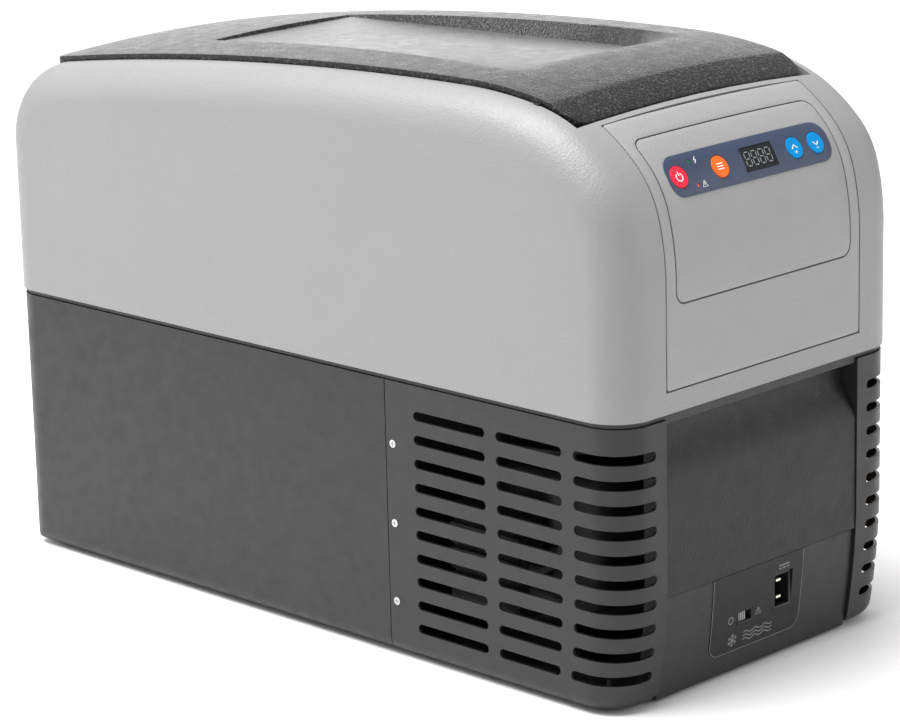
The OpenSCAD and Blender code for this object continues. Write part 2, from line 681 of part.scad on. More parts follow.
module compressor_grommets() {
    color("#26262a") for (p = mount_xy) translate([p[0], p[1], 7.5]) difference() {
        union() {
            cylinder(7.5, 8, 8, $fn = 48);
            cylinder(13, 5, 5, $fn = 48);
            translate([0, 0, 10.6]) cylinder(2.4, 6.6, 6.6, $fn = 48);
        }
        translate([0, 0, -1]) cylinder(20, 2, 2, $fn = 24);
    }
}
module start_unit() {
    color("#35373b") difference() {
        span(126, 182, -118, -96, 40, 104);
        for (z = [52 : 8 : 92]) span(124, 184, -119, -114, z, z + 3);
        translate([pot_x, -90, 46]) rotate([90, 0, 0]) cylinder(20, 3.4, 3.4, $fn = 24);
    }
}
tube_r = 3;
coil_x = [104, 204];
coil_zs = [for (k = [0 : 4]) 22 + 22 * k];
coil_y = 104;
module u_bend(x, z, side) {
    translate([x, coil_y, z + 11]) rotate([90, 0, 0]) rotate([0, 0, side > 0 ? -90 : 90])
        rotate_extrude(angle = 180, $fn = 48) translate([11, 0]) circle(tube_r, $fn = 24);
}
module condenser_coil() {
    color("#b87548") {
        for (z = coil_zs) translate([coil_x[0], coil_y, z]) rotate([0, 90, 0])
            cylinder(coil_x[1] - coil_x[0], tube_r, tube_r, $fn = 24);
        for (k = [0 : 3]) u_bend(coil_x[(k + 1) % 2], coil_zs[k], k % 2 == 0 ? 1 : -1);
    }
}
module condenser_fins() {
    color("#c9ccd0") for (x = [110 : 4 : 198]) along_x(x, x + 0.4) difference() {
        translate([coil_y - 9, 12]) square([18, 108]);
        for (z = coil_zs) translate([coil_y, z]) circle(tube_r, $fn = 24);
    }
}
fan_c = [154, 64];
module fan_frame() {
    color("#222326") translate([fan_c[0], 92, fan_c[1]]) rotate([90, 0, 0]) difference() {
        union() {
            difference() {
                translate([-46, -46, 0]) cube([92, 92, 25]);
                translate([0, 0, -1]) cylinder(27, 43.5, 43.5, $fn = 96);
            }
            cylinder(3, 17, 17, $fn = 48);
            for (a = [45 : 90 : 315]) rotate([0, 0, a]) translate([14, -2, 0]) cube([31, 4, 3]);
            cylinder(20, 2.5, 2.5, $fn = 32);
        }
        for (x = [-41, 41]) for (y = [-41, 41]) translate([x, y, -1]) cylinder(27, 2.1, 2.1, $fn = 24);
    }
}
module fan_rotor() {
    color("#2e3034") translate([fan_c[0], 92, fan_c[1]]) rotate([90, 0, 0]) difference() {
        union() {
            translate([0, 0, 4]) cylinder(19, 16.5, 16.5, $fn = 64);
            for (a = [0 : 360 / 7 : 359]) rotate([0, 0, a]) translate([15, 0, 13.5]) rotate([38, 0, 0])
                translate([0, -9, -0.7]) cube([26, 18, 1.4]);
        }
        translate([0, 0, -1]) cylinder(21.5, 2.56, 2.56, $fn = 32);
    }
}
drier_xy = [226, 104];
module filter_drier() {
    color("#b87548") translate([drier_xy[0], drier_xy[1], 0]) {
        translate([0, 0, 38]) cylinder(60, 8, 8, $fn = 48);
        translate([0, 0, 32]) cylinder(72, 2.4, 2.4, $fn = 24);
    }
}
module liquid_line() {
    color("#b87548") pipe([[204, 104, 110], [212, 104, 112], [222, 104, 113], [226, 104, 109], [226, 104, 104]],
        2.2);
}
module capillary_tube() {
    color("#b87548") pipe([[226, 104, 32], [224, 98, 20], [206, 70, 13], [150, 60, 13], [100, 58, 13],
        [84, 62, 24], [80, 78, 80], [80, 94, 146], [76, 98, 153.2], [52, 98, 153.2]], 0.9);
}
module discharge_line() {
    color("#b87548") pipe([[130, 29, 70], [128, 36, 70], [104, 42, 64], [94, 66, 42], [93, 92, 27], [96, 103, 22],
        [104, 104, 22]], 2.2);
}
module suction_line() {
    color("#b87548") pipe([[178, 29, 92], [177, 38, 96], [168, 46, 124], [130, 66, 148], [100, 90, 157], [84, 98, 158],
        [50, 98, 158]], 3);
}
module wiring_harness() {
    color("#2a2a2c") {
        pipe([[238, -30, 296], [226, -50, 262], [216, -98, 216], [215, -110, 150], [212, -110, 96],
            [196, -108, 74], [182, -107, 72]], 2.4);
        pipe([[238.8, 22, 44], [232, 16, 42], [224, -40, 40], [216, -92, 46], [200, -106, 56], [182, -107, 58]],
            2.4);
    }
}

// ---- lid ----
lid_x0 = -242;
lid_x1 = 220.5;
lid_corner = 13;
lid_hw = 104.5;
skirt_z = 326;
lid_t = 2.8;
ins_x0 = -131;
ins_x1 = 118;
ramp_x = 155;
ridge_x = 202;
ins_z = rim_z(ins_x0) + crown_h + lid_proud - recess_depth;
ins_rise = 0.0305;
// How far the front edge of the lid falls below the proud line
front_fall = 4;
// Width of the recess's side slope, which grows towards the hinge
function slope_w(x) = 2 + 14 * clamp01((x - ins_x0) / (ramp_x - ins_x0));
function ins_floor(x) = ins_z + (x - ins_x0) * ins_rise;
function soft_edge(d) = d >= 3 ? 0 : 3 - sqrt(9 - pow(3 - max(0, d), 2));
function lid_skin(x, y) = let (end_drop = soft_edge(x - lid_x0), side_drop = soft_edge(lid_hw - abs(y)),
    front = clamp01((x - ridge_x) / (lid_x1 - ridge_x)))
    rim_z(x) + crown_h * (1 - pow(y / 105, 2)) + lid_proud - front_fall * front - max(end_drop, side_drop);
function lid_top(x, y) = let (s = lid_skin(x, y), f = ins_floor(x),
    w = max(clamp01((abs(y) - insert_hw) / slope_w(x)), clamp01((x - ins_x1) / (ramp_x - ins_x1)),
        clamp01((ins_x0 - x) / 4))) f + (s - f) * w;
lid_xs = [lid_x0, -241.1, -239, -190, ins_x0 - 4, ins_x0, -70, -5, 60, ins_x1, 136, ramp_x, 175, 190,
    ridge_x, 211, lid_x1];
half_ys = [insert_hw / 2, insert_hw, insert_hw + 4, insert_hw + 9, insert_hw + 16, 88, 101.5, 103.6, lid_hw];
lid_ys = concat([for (i = [len(half_ys) - 1 : -1 : 0]) -half_ys[i]], [0], half_ys);
function fit_in(v, lo, hi) = min(hi, max(lo, v));
// Grid of the lid's top with a skirt row on each side, set in by t and standing on foot_z
function lid_grid(t, x1, foot_z) = let (xs = concat([lid_xs[0]], lid_xs, [lid_x1]),
    ys = concat([-lid_hw], lid_ys, [lid_hw]))
    [for (i = [0 : len(xs) - 1]) [for (j = [0 : len(ys) - 1]) let (
        x = fit_in(xs[i], lid_x0 + t, x1), y = fit_in(ys[j], -lid_hw + t, lid_hw - t),
        edge = i == 0 || j == 0 || i == len(xs) - 1 || j == len(ys) - 1)
        [x, y, edge ? foot_z : lid_top(fit_in(x, lid_x0 + 3.1, lid_x1), fit_in(y, -101.4, 101.4)) * (t > 0 ? 1 : 0)
            + (t > 0 ? -t : lid_top(x, y))]]];
// Solid core of the lid under its skin
module lid_core(x0, x1, half, foot_z, drop) {
    xs = concat([x0], [for (x = lid_xs) if (x > x0 + 2 && x < x1 - 2) x], [x1]);
    ys = concat([-half], [for (y = lid_ys) if (abs(y) < half - 2) y], [half]);
    slab([for (x = xs) [for (y = ys) [x, y, lid_top(fit_in(x, lid_x0 + 3.1, lid_x1), fit_in(y, -101.4, 101.4)) - drop]]],
        [for (x = xs) [for (y = ys) [x, y, foot_z]]]);
}
hinge_x = 194;
hinge_z = 346;
pin_r = 2.5;
lug_ys = [[-92, -84], [84, 92]];
latch_slot_hw = 22;
// The skirt is shorter over the hinge well, so that it swings down into it
nose_skirt_z = 335;
// Outside of the two rounded front corners, set in by an inset
module lid_corners(inset) {
    r = lid_corner - inset;
    for (m = [0, 1]) mirror([0, m, 0]) translate([lid_x1 - lid_corner, lid_hw - lid_corner, skirt_z - 10])
        difference() {
            cube([lid_corner + 1, lid_corner + 1, 60]);
            translate([0, 0, -1]) cylinder(62, r, r, $fn = 48);
        }
}
module lid_cover() {
    color(lid_grey) difference() {
        union() {
            difference() {
                slab(lid_grid(0, lid_x1, skirt_z), [for (x = [for (g = lid_grid(0, lid_x1, skirt_z)) g[0][0]])
                    [for (y = concat([-lid_hw], lid_ys, [lid_hw])) [x, y, skirt_z]]]);
                lid_corners(0);
                difference() {
                    lid_core(lid_x0 + lid_t, lid_x1 - lid_t, lid_hw - lid_t, skirt_z - 5, lid_t);
                    lid_corners(lid_t);
                }
            }
            for (y = lug_ys) along_y(y[0], y[1]) {
                translate([hinge_x, hinge_z]) circle(6.5, $fn = 48);
                translate([hinge_x - 6.5, hinge_z]) square([13, rim_z(hinge_x) + 0.5 - hinge_z]);
            }
        }
        span(lid_x0 - 1, lid_x0 + lid_t + 1, -latch_slot_hw, latch_slot_hw, 327.4, 331.6);
        span(well_x + 1.5, lid_x1 + 1, -lid_hw - 1, lid_hw + 1, skirt_z - 1, nose_skirt_z);
        for (y = lug_ys) translate([hinge_x, y[1] + 1, hinge_z]) rotate([90, 0, 0])
            cylinder(y[1] - y[0] + 2, pin_r + 0.08, pin_r + 0.08, $fn = 48);
    }
}
module lid_insert() {
    xs = [ins_x0 + 0.6, -70, -5, 60, ins_x1 - 0.4];
    ys = spread(-insert_hw + 0.6, insert_hw - 0.6, 4);
    color("#4a4b4e") slab([for (x = xs) [for (y = ys) [x, y, ins_floor(x) + 1.2]]],
        [for (x = xs) [for (y = ys) [x, y, ins_floor(x) + 0.02]]]);
}
liner_x1 = 168;
module lid_liner() {
    color("#d4d6d8") difference() {
        union() {
            span(lid_x0 + 3.2, liner_x1, -101.2, 101.2, 325.2, 327.2);
            pillow(-231, 155, -86, 86, 314, 326, 14);
        }
        pillow(-229, 153, -84, 84, 316, 328, 12);
    }
}
module lid_foam() {
    color("#e8dcae") difference() {
        union() {
            lid_core(-235, liner_x1 - 2, 100.8, 327.4, lid_t + 0.4);
            pillow(-228.8, 152.8, -83.8, 83.8, 316.2, 329, 11.8);
        }
        span(-245, -226, -30, 30, 327, 340);
    }
}
module lid_gasket() {
    color("#2a2a2a") difference() {
        pillow(-239, 166, -100.5, 100.5, flange_z + 0.1, 325.2, 12);
        pillow(-234.5, 161.5, -93.5, 93.5, flange_z - 1, 326, 8);
    }
}
module hinge_pins() {
    color("#c8c8c8") for (m = [0, 1]) mirror([0, m, 0]) translate([hinge_x, 97, hinge_z])
        rotate([90, 0, 0]) cylinder(15, pin_r, pin_r, $fn = 48);
}
// Back of the hinge posts, which reach over the path of the lid's front edge
post_x = 172.8;
module hinge_brackets() {
    color("#3a3b3e") for (m = [0, 1]) mirror([0, m, 0]) difference() {
        along_y(92.6, 97) union() {
            translate([hinge_x, hinge_z]) circle(6.5, $fn = 48);
            translate([post_x, hinge_z - 5.5]) square([hinge_x - post_x, 11.5]);
            translate([post_x, well_z]) square([5.6, hinge_z - well_z]);
        }
        translate([hinge_x, 98, hinge_z]) rotate([90, 0, 0]) cylinder(7, pin_r, pin_r, $fn = 48);
    }
}
latch_travel = 9;
module lid_latch() {
    color("#2b2c2e") {
        span(-238.6, -235.6, -18, 6, 327.6, 332);
        span(-252, -236, -12, 4, 328, 331);
        span(-252, -250, -12, 4, 328, 332.6);
        for (y = [-11 : 3 : 1]) span(-251, -248.6, y, y + 1.4, 331, 331.8);
    }
}
module latch_catch() {
    color("#3a3b3e") {
        span(-249.6, -246.6, 6, finger_hw, 332.2, 334.4);
        span(-249.6, -246.6, 20, finger_hw, 326, 334.4);
    }
}

upper_shell();
front_fascia();
control_bezel();
control_label();
display_window();
display_module();
power_light();
error_light();
power_button();
set_button();
up_button();
down_button();
control_board();
button_switches();
board_screws();
lower_shell();
mid_frame();
vent_cover_left();
vent_cover_right();
vent_cover_screws();
grip_panel();
service_panel();
socket_label();
dc_socket();
socket_pins();
override_switch();
override_knob();
base_plate();
rubber_feet();
foot_screws();
inner_liner();
insulation();
evaporator();
temperature_probe();
partition();
compressor_shell();
compressor_foot();
compressor_grommets();
start_unit();
condenser_coil();
condenser_fins();
fan_frame();
fan_rotor();
filter_drier();
suction_line();
discharge_line();
liquid_line();
capillary_tube();
wiring_harness();
lid_cover();
lid_insert();
lid_liner();
lid_foam();
lid_gasket();
hinge_pins();
hinge_brackets();
lid_latch();
latch_catch();
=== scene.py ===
import json
from math import atan2, cos, pi, radians, sin, sqrt

import bmesh
import bpy
from mathutils import Matrix, Vector


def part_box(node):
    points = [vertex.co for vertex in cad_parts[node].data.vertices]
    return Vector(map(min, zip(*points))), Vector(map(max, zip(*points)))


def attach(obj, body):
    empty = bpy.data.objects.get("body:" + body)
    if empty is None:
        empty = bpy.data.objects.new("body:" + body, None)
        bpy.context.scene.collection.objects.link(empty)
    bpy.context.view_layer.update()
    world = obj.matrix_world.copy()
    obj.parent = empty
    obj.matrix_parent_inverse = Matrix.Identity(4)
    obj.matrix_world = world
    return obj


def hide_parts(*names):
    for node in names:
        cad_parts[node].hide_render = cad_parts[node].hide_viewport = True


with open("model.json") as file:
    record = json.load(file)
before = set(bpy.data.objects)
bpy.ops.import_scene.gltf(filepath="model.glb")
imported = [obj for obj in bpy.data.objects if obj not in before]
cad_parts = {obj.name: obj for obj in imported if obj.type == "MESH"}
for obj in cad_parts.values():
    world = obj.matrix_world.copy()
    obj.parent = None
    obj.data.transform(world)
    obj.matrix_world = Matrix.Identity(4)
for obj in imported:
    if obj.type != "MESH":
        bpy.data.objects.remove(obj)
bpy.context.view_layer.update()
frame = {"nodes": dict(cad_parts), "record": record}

mm = 0.001
bodyOf = {n: b for b, names in frame["record"]["behaviour"]["bodies"].items() for n in names}
slotOf = {s["node"]: s["material_slot"] for s in frame["record"]["subparts"]}
print("frame loaded:", len(frame["nodes"]), "nodes")

# azimuth and elevation in degrees, distance and aim in metres, lens in mm
camera = {
    "azimuth": 44.632, "elevation": 15.042, "distance": 2.2702,
    "aim": (0.00636, 0.00628, 0.14448), "roll": -1.389, "lens": 140.356,
}
studio = {
    "floorSize": 14, "floorColour": (0.9, 0.9, 0.9, 1), "worldColour": (1, 1, 1, 1), "worldStrength": 0.55,
    # place, aim, width, watts
    "lights": {
        "overhead": ((-0.4, -0.75, 2.5), (0, 0, 0.2), 2.0, 128),
        "left": ((-2.2, -2.0, 1.0), (0, 0, 0.2), 1.8, 12),
        "right": ((2.2, 1.6, 0.9), (0, 0, 0.2), 1.6, 14), "back": ((-2.0, 2.0, 0.95), (0, 0, 0.3), 2.0, 15.5),
    },
}


def aimed(place, aim):
    return (Vector(aim) - Vector(place)).to_track_quat("-Z", "Y").to_matrix().to_4x4()


def makeCamera():
    az, el = radians(camera["azimuth"]), radians(camera["elevation"])
    aim = Vector(camera["aim"])
    place = aim + camera["distance"] * Vector((sin(az) * cos(el), -cos(az) * cos(el), sin(el)))
    data = bpy.data.cameras.new("camera")
    data.lens = camera["lens"]
    data.clip_end = 60
    obj = bpy.data.objects.new("camera", data)
    bpy.context.scene.collection.objects.link(obj)
    turn = Matrix.Rotation(radians(camera["roll"]), 4, "Z")
    obj.matrix_world = Matrix.Translation(place) @ aimed(place, aim) @ turn
    bpy.context.scene.camera = obj


def makeStudio():
    for name, (place, aim, size, watts) in studio["lights"].items():
        data = bpy.data.lights.new(name, "AREA")
        data.shape = "SQUARE"
        data.size = size
        data.energy = watts
        obj = bpy.data.objects.new(name, data)
        bpy.context.scene.collection.objects.link(obj)
        obj.matrix_world = Matrix.Translation(place) @ aimed(place, aim)
    world = bpy.data.worlds.new("studio")
    world.use_nodes = True
    back = world.node_tree.nodes["Background"]
    back.inputs["Color"].default_value = studio["worldColour"]
    back.inputs["Strength"].default_value = studio["worldStrength"]
    bpy.context.scene.world = world
    bm = bmesh.new()
    bmesh.ops.create_grid(bm, x_segments=1, y_segments=1, size=studio["floorSize"] / 2)
    mesh = bpy.data.meshes.new("floor")
    bm.to_mesh(mesh)
    bm.free()
    floor = bpy.data.objects.new("floor", mesh)
    bpy.context.scene.collection.objects.link(floor)
    paint = bpy.data.materials.new("floorPaint")
    paint.use_nodes = True
    paint.node_tree.nodes["Principled BSDF"].inputs["Base Color"].default_value = studio["floorColour"]
    paint.node_tree.nodes["Principled BSDF"].inputs["Roughness"].default_value = 0.7
    mesh.materials.append(paint)
    bpy.context.scene.view_settings.view_transform = "Standard"


finishes = {
    # colour, roughness, grain size in mm, bump height in mm, spread of colour, then optional extras
    "light_plastic": dict(colour=(0.25, 0.25, 0.2492), rough=0.38, grain=1.5, height=0.16, vary=0.01),
    # the panel plastic is the housing's plastic made a little lighter: a painted lift for the front faces, which
    # get less light
    "panel_plastic": dict(colour=(0.275, 0.275, 0.2742), rough=0.42, grain=1.3, height=0.14, vary=0.01),
    "dark_plastic": dict(colour=(0.016, 0.016, 0.016), rough=0.44, grain=1.0, height=0.05, vary=0.05,
                         specular=0.4),
    "vent_plastic": dict(colour=(0.017, 0.017, 0.017), rough=0.42, grain=1.0, height=0.05, vary=0.05,
                         specular=0.42),
    # the grip's colour is its dark plastic made darker still: partly painted shade for the slope and band under
    # the overhang
    "grip_plastic": dict(colour=(0.012, 0.012, 0.012), rough=0.44, grain=1.8, height=0.14, vary=0.06,
                         specular=0.32),
    # the lid paints bright dots into its colour: painted highlight standing for glints on the grain
    "lid_plastic": dict(colour=(0.0045, 0.0045, 0.0046), rough=0.3, grain=1.7, height=0.32, vary=0.06,
                        painted_glint=0.9, specular=0.42, sheen=0.04),
    "insert_plastic": dict(colour=(0.105, 0.105, 0.107), rough=0.3, grain=0.5, height=0.008, vary=0.03,
                           brushed=True, specular=0.5),
    "white_plastic": dict(colour=(0.62, 0.63, 0.64), rough=0.32, grain=1.4, height=0.012, vary=0.03),
    "label_film": dict(colour=(0.036, 0.051, 0.094), rough=0.36, grain=0.5, height=0.004, vary=0.03,
                       specular=0.32),
    "grey_film": dict(colour=(0.009, 0.009, 0.009), rough=0.42, grain=0.5, height=0.004, vary=0.04,
                      specular=0.3),
    "red_plastic": dict(colour=(0.93, 0.016, 0.045), rough=0.34, grain=0.6, height=0.004, vary=0.03,
                        specular=0.25),
    "orange_plastic": dict(colour=(0.88, 0.13, 0.008), rough=0.34, grain=0.6, height=0.004, vary=0.03,
                           specular=0.25),
    "blue_plastic": dict(colour=(0.0, 0.23, 0.56), rough=0.36, grain=0.6, height=0.004, vary=0.03,
                         specular=0.08),
    "green_lens": dict(colour=(0.01, 0.13, 0.05), rough=0.2, grain=0.6, height=0.002, vary=0.04),
    "red_lens": dict(colour=(0.42, 0.01, 0.015), rough=0.2, grain=0.6, height=0.002, vary=0.04),
    "dark_glass": dict(colour=(0.006, 0.007, 0.009), rough=0.16, grain=2, height=0.001, vary=0.04,
                       specular=0.3),
    "display_plastic": dict(colour=(0.3, 0.32, 0.34), rough=0.5, grain=0.6, height=0.01, vary=0.08),
    "board": dict(colour=(0.015, 0.1, 0.04), rough=0.35, grain=2.2, height=0.03, vary=0.3),
    "black_plastic": dict(colour=(0.01, 0.01, 0.0105), rough=0.42, grain=0.8, height=0.02, vary=0.1),
    "steel": dict(colour=(0.55, 0.55, 0.56), rough=0.3, grain=1.5, height=0.004, vary=0.1, metal=1),
    # the sheet steel is darkened well below bare steel: painted shade so the inside seen through the vent slots
    # looks black
    "sheet_steel": dict(colour=(0.16, 0.165, 0.17), rough=0.5, grain=6, height=0.01, vary=0.25, metal=1),
    "black_paint": dict(colour=(0.008, 0.008, 0.009), rough=0.35, grain=1.6, height=0.015, vary=0.15),
    "copper": dict(colour=(0.62, 0.27, 0.15), rough=0.3, grain=3, height=0.006, vary=0.3, metal=1),
    "contact_brass": dict(colour=(0.85, 0.82, 0.74), rough=0.25, grain=1, height=0.004, vary=0.1, metal=1),
    "aluminium": dict(colour=(0.5, 0.51, 0.52), rough=0.4, grain=2, height=0.006, vary=0.12, metal=1),
    "rubber": dict(colour=(0.018, 0.018, 0.018), rough=0.7, grain=0.8, height=0.02, vary=0.2),
    "foam": dict(colour=(0.7, 0.58, 0.32), rough=0.85, grain=1.6, height=0.25, vary=0.15),
    "knob_plastic": dict(colour=(0.3, 0.3, 0.31), rough=0.4, grain=0.6, height=0.01, vary=0.06),
    "white_ink": dict(colour=(0.85, 0.85, 0.85), rough=0.5, grain=0.5, height=0.001, vary=0.03),
    "grey_ink": dict(colour=(0.22, 0.22, 0.22), rough=0.5, grain=0.5, height=0.001, vary=0.03),
    "dim_segment": dict(colour=(0.25, 0.27, 0.28), rough=0.4, grain=0.5, height=0.001, vary=0.05),
}


grainLook = {
    # sizes in mm; the fine grain and the bright specks of painted highlight, which stand for the grain catching
    # the light, follow the grain of each finish
    "toneSize": 38, "roughSize": 9, "roughSpread": (-0.05, 0.07), "fineRatio": 0.45, "brushed": (0.06, 1, 1),
    "glintRatio": 0.85, "glintRamp": (0.56, 0.68), "glintGain": 18, "sheenRough": 0.22,
}


def makeMaterial(name, f):
    g = grainLook
    material = bpy.data.materials.new(name)
    material.use_nodes = True
    nodes, links = material.node_tree.nodes, material.node_tree.links
    shader = nodes["Principled BSDF"]
    shader.inputs["Metallic"].default_value = f.get("metal", 0)
    shader.inputs["Specular IOR Level"].default_value = f.get("specular", 0.5)
    shader.inputs["Sheen Weight"].default_value = f.get("sheen", 0)
    shader.inputs["Sheen Roughness"].default_value = g["sheenRough"]
    place = nodes.new("ShaderNodeTexCoord").outputs["Object"]

    def noise(size, detail=2.0, stretch=None):
        node = nodes.new("ShaderNodeTexNoise")
        node.inputs["Scale"].default_value = 1 / (size * mm)
        node.inputs["Detail"].default_value = detail
        source = place
        if stretch:
            mapping = nodes.new("ShaderNodeMapping")
            mapping.inputs["Scale"].default_value = stretch
            links.new(place, mapping.inputs["Vector"])
            source = mapping.outputs["Vector"]
        links.new(source, node.inputs["Vector"])
        return node.outputs["Fac"]

    def ramp(source, low, high, colours):
        node = nodes.new("ShaderNodeValToRGB")
        node.color_ramp.elements[0].position = low
        node.color_ramp.elements[1].position = high
        node.color_ramp.elements[0].color = colours[0]
        node.color_ramp.elements[1].color = colours[1]
        links.new(source, node.inputs["Fac"])
        return node.outputs["Color"]

    def scaled(source, low, high):
        node = nodes.new("ShaderNodeMapRange")
        node.inputs["From Min"].default_value = 0.3
        node.inputs["From Max"].default_value = 0.7
        node.inputs["To Min"].default_value = low
        node.inputs["To Max"].default_value = high
        links.new(source, node.inputs["Value"])
        return node.outputs["Result"]

    def shade(k):
        return tuple(min(1, c * k) for c in f["colour"]) + (1,)

    # broad uneven tone, then the grain itself
    tone = ramp(noise(g["toneSize"], 3), 0.32, 0.68, (shade(1 - f["vary"]), shade(1 + f["vary"])))
    cells = nodes.new("ShaderNodeTexVoronoi")
    cells.feature = "SMOOTH_F1"
    cells.inputs["Scale"].default_value = 1 / (f["grain"] * mm)
    cells.inputs["Smoothness"].default_value = 0.6
    links.new(place, cells.inputs["Vector"])
    fine = noise(f["grain"] * g["fineRatio"], 3, g["brushed"] if f.get("brushed") else None)
    # painted highlight: bright specks mixed into the base colour stand for the grain catching the light
    if f.get("painted_glint"):
        painted_glints = ramp(noise(f["grain"] * g["glintRatio"], 2), *g["glintRamp"],
                      ((0, 0, 0, 1), (f["painted_glint"],) * 3 + (1,)))
        mix = nodes.new("ShaderNodeMix")
        mix.data_type = "RGBA"
        links.new(painted_glints, mix.inputs["Factor"])
        links.new(tone, mix.inputs[6])
        mix.inputs[7].default_value = shade(g["glintGain"])
        tone = mix.outputs[2]
    links.new(tone, shader.inputs["Base Color"])
    low, high = g["roughSpread"]
    links.new(scaled(noise(g["roughSize"], 3), f["rough"] + low, f["rough"] + high), shader.inputs["Roughness"])
    total = nodes.new("ShaderNodeMath")
    total.operation = "ADD"
    links.new(cells.outputs["Distance"], total.inputs[0])
    links.new(fine, total.inputs[1])
    bump = nodes.new("ShaderNodeBump")
    bump.inputs["Strength"].default_value = 1
    bump.inputs["Distance"].default_value = f["height"] * mm
    links.new(total.outputs["Value"], bump.inputs["Height"])
    links.new(bump.outputs["Normal"], shader.inputs["Normal"])
    return material


# outline of the light housing from the side: a chain of arcs from the far end over the top to the nose, in mm
housing = {
    "halfLength": 274.5, "halfWidth": 130, "edgeRadius": 26, "wall": 3, "seam": 179.2,
    "noseZ": 254.9, "farZ": 278.7, "crown": 4.2, "crownHalf": 105, "lidProud": 3.3,
    "edgeSteps": 9, "across": (-89.5, -60, -30, 0, 30, 60, 89.5),
    # radius, slope at the start and at the end, steps; the second radius closes the length
    "arcs": [[55, 90, 8, 14], [0, 8, 0, 20], [330, 0, -10, 6], [115, -10, -45, 12], [62, -45, -75, 10],
             [150, -75, -90, 8]],
}


def arcRun(a):
    return a[0] * (sin(radians(a[1])) - sin(radians(a[2])))


housing["arcs"][1][0] = (2 * housing["halfLength"] - sum(arcRun(a) for a in housing["arcs"])) / sin(radians(8))
arcs = housing["arcs"]


def normalAt(slope):
    return -sin(radians(slope)), cos(radians(slope))


centres = [(-housing["halfLength"] + arcs[0][0], housing["farZ"])]
for before, after in zip(arcs, arcs[1:]):
    n = normalAt(before[2])
    centres.append((centres[-1][0] + (before[0] - after[0]) * n[0],
                    centres[-1][1] + (before[0] - after[0]) * n[1]))


def rimZ(x):
    i = 1 if x < centres[1][0] else 2 if x < centres[2][0] + arcs[2][0] * sin(radians(10)) else 3
    return centres[i][1] + sqrt(arcs[i][0] ** 2 - (x - centres[i][0]) ** 2)


def crownAt(y, z, up):
    # the crown grows from nothing low on the nose to its full height on top
    across = 1 - (y / housing["crownHalf"]) ** 2
    return housing["crown"] * across * min(1, max(0, (z - 230) / 125)) * max(0, up)


pathOne = arcs[5][0] * radians(15)
pathTwo = pathOne + arcs[4][0] * radians(30)


def noseSlope(s):
    if s < 0:
        return -90
    if s < pathOne:
        return -90 + s / arcs[5][0] * 180 / pi
    if s < pathTwo:
        return -75 + (s - pathOne) / arcs[4][0] * 180 / pi
    return -45 + (s - pathTwo) / arcs[3][0] * 180 / pi


def noseFlat(s, lift):
    if s < 0:
        return housing["halfLength"] + lift, housing["noseZ"] + s
    i = 5 if s < pathOne else 4 if s < pathTwo else 3
    n = normalAt(noseSlope(s))
    return centres[i][0] + (arcs[i][0] + lift) * n[0], centres[i][1] + (arcs[i][0] + lift) * n[1]


def nosePoint(s, y, lift):
    z = noseFlat(s, 0)[1]
    x, z = noseFlat(s, lift + crownAt(y, z, cos(radians(noseSlope(s)))))
    return Vector((x, y, z))


# meshes are built in millimetres and scaled here
def newPiece(bm, name, material, body, replaced=(), sharp=35, thickness=0, bevel=0, segments=2, angle=35,
             tidy=True):
    if tidy:
        bmesh.ops.remove_doubles(bm, verts=bm.verts, dist=0.003)
        bmesh.ops.recalc_face_normals(bm, faces=bm.faces)
    bmesh.ops.scale(bm, vec=(mm, mm, mm), verts=bm.verts)
    mesh = bpy.data.meshes.new(name)
    bm.to_mesh(mesh)
    bm.free()
    for polygon in mesh.polygons:
        polygon.use_smooth = True
    mesh.set_sharp_from_angle(angle=radians(sharp))
    obj = bpy.data.objects.new(name, mesh)
    bpy.context.scene.collection.objects.link(obj)
    mesh.materials.append(materials[material])
    if thickness:
        wall = obj.modifiers.new("wall", "SOLIDIFY")
        wall.thickness = thickness * mm
        wall.offset = -1
        wall.use_even_offset = True
    if bevel:
        edge = obj.modifiers.new("edge", "BEVEL")
        edge.width = bevel * mm
        edge.segments = segments
        edge.limit_method = "ANGLE"
        edge.angle_limit = radians(angle)
        edge.harden_normals = True
        edge.use_clamp_overlap = True
    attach(obj, body)
    if replaced:
        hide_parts(*replaced)
    return obj


def refine(node, material, bevel=0.4, segments=2, sharp=35, angle=40):
    # the CAD node's own shape with softened edges
    bm = bmesh.new()
    bm.from_mesh(frame["nodes"][node].data)
    bmesh.ops.scale(bm, vec=(1 / mm,) * 3, verts=bm.verts)
    bmesh.ops.remove_doubles(bm, verts=bm.verts, dist=0.002)
    bmesh.ops.dissolve_limit(bm, angle_limit=radians(0.6), verts=bm.verts, edges=bm.edges,
                             use_dissolve_boundaries=False)
    return newPiece(bm, node + "_shown", material, bodyOf[node], (node,), sharp=sharp, bevel=bevel,
                    segments=segments, angle=angle)


def cutAlong(bm, axis, places):
    for place in places:
        at, along = [0, 0, 0], [0, 0, 0]
        at[axis], along[axis] = place, 1
        geom = bm.verts[:] + bm.edges[:] + bm.faces[:]
        bmesh.ops.bisect_plane(bm, geom=geom, dist=1e-4, plane_co=at, plane_no=along)


def newVerts(made):
    return [v for v in made if isinstance(v, bmesh.types.BMVert)]


def steps(low, high, size):
    count = max(1, round((high - low) / size))
    return [low + (high - low) * i / count for i in range(1, count)]


def roundedFace(bm, box, radius, at=0, turn=6):
    y0, y1, z0, z1 = box
    before = set(bm.faces)
    corners = [bm.verts.new((at, y, z)) for y, z in ((y0, z0), (y1, z0), (y1, z1), (y0, z1))]
    bm.faces.new(corners)
    if radius:
        bmesh.ops.bevel(bm, geom=corners, offset=radius, offset_type="OFFSET", segments=turn, profile=0.5,
                        affect="VERTICES", material=-1)
    return [f for f in bm.faces if f not in before]


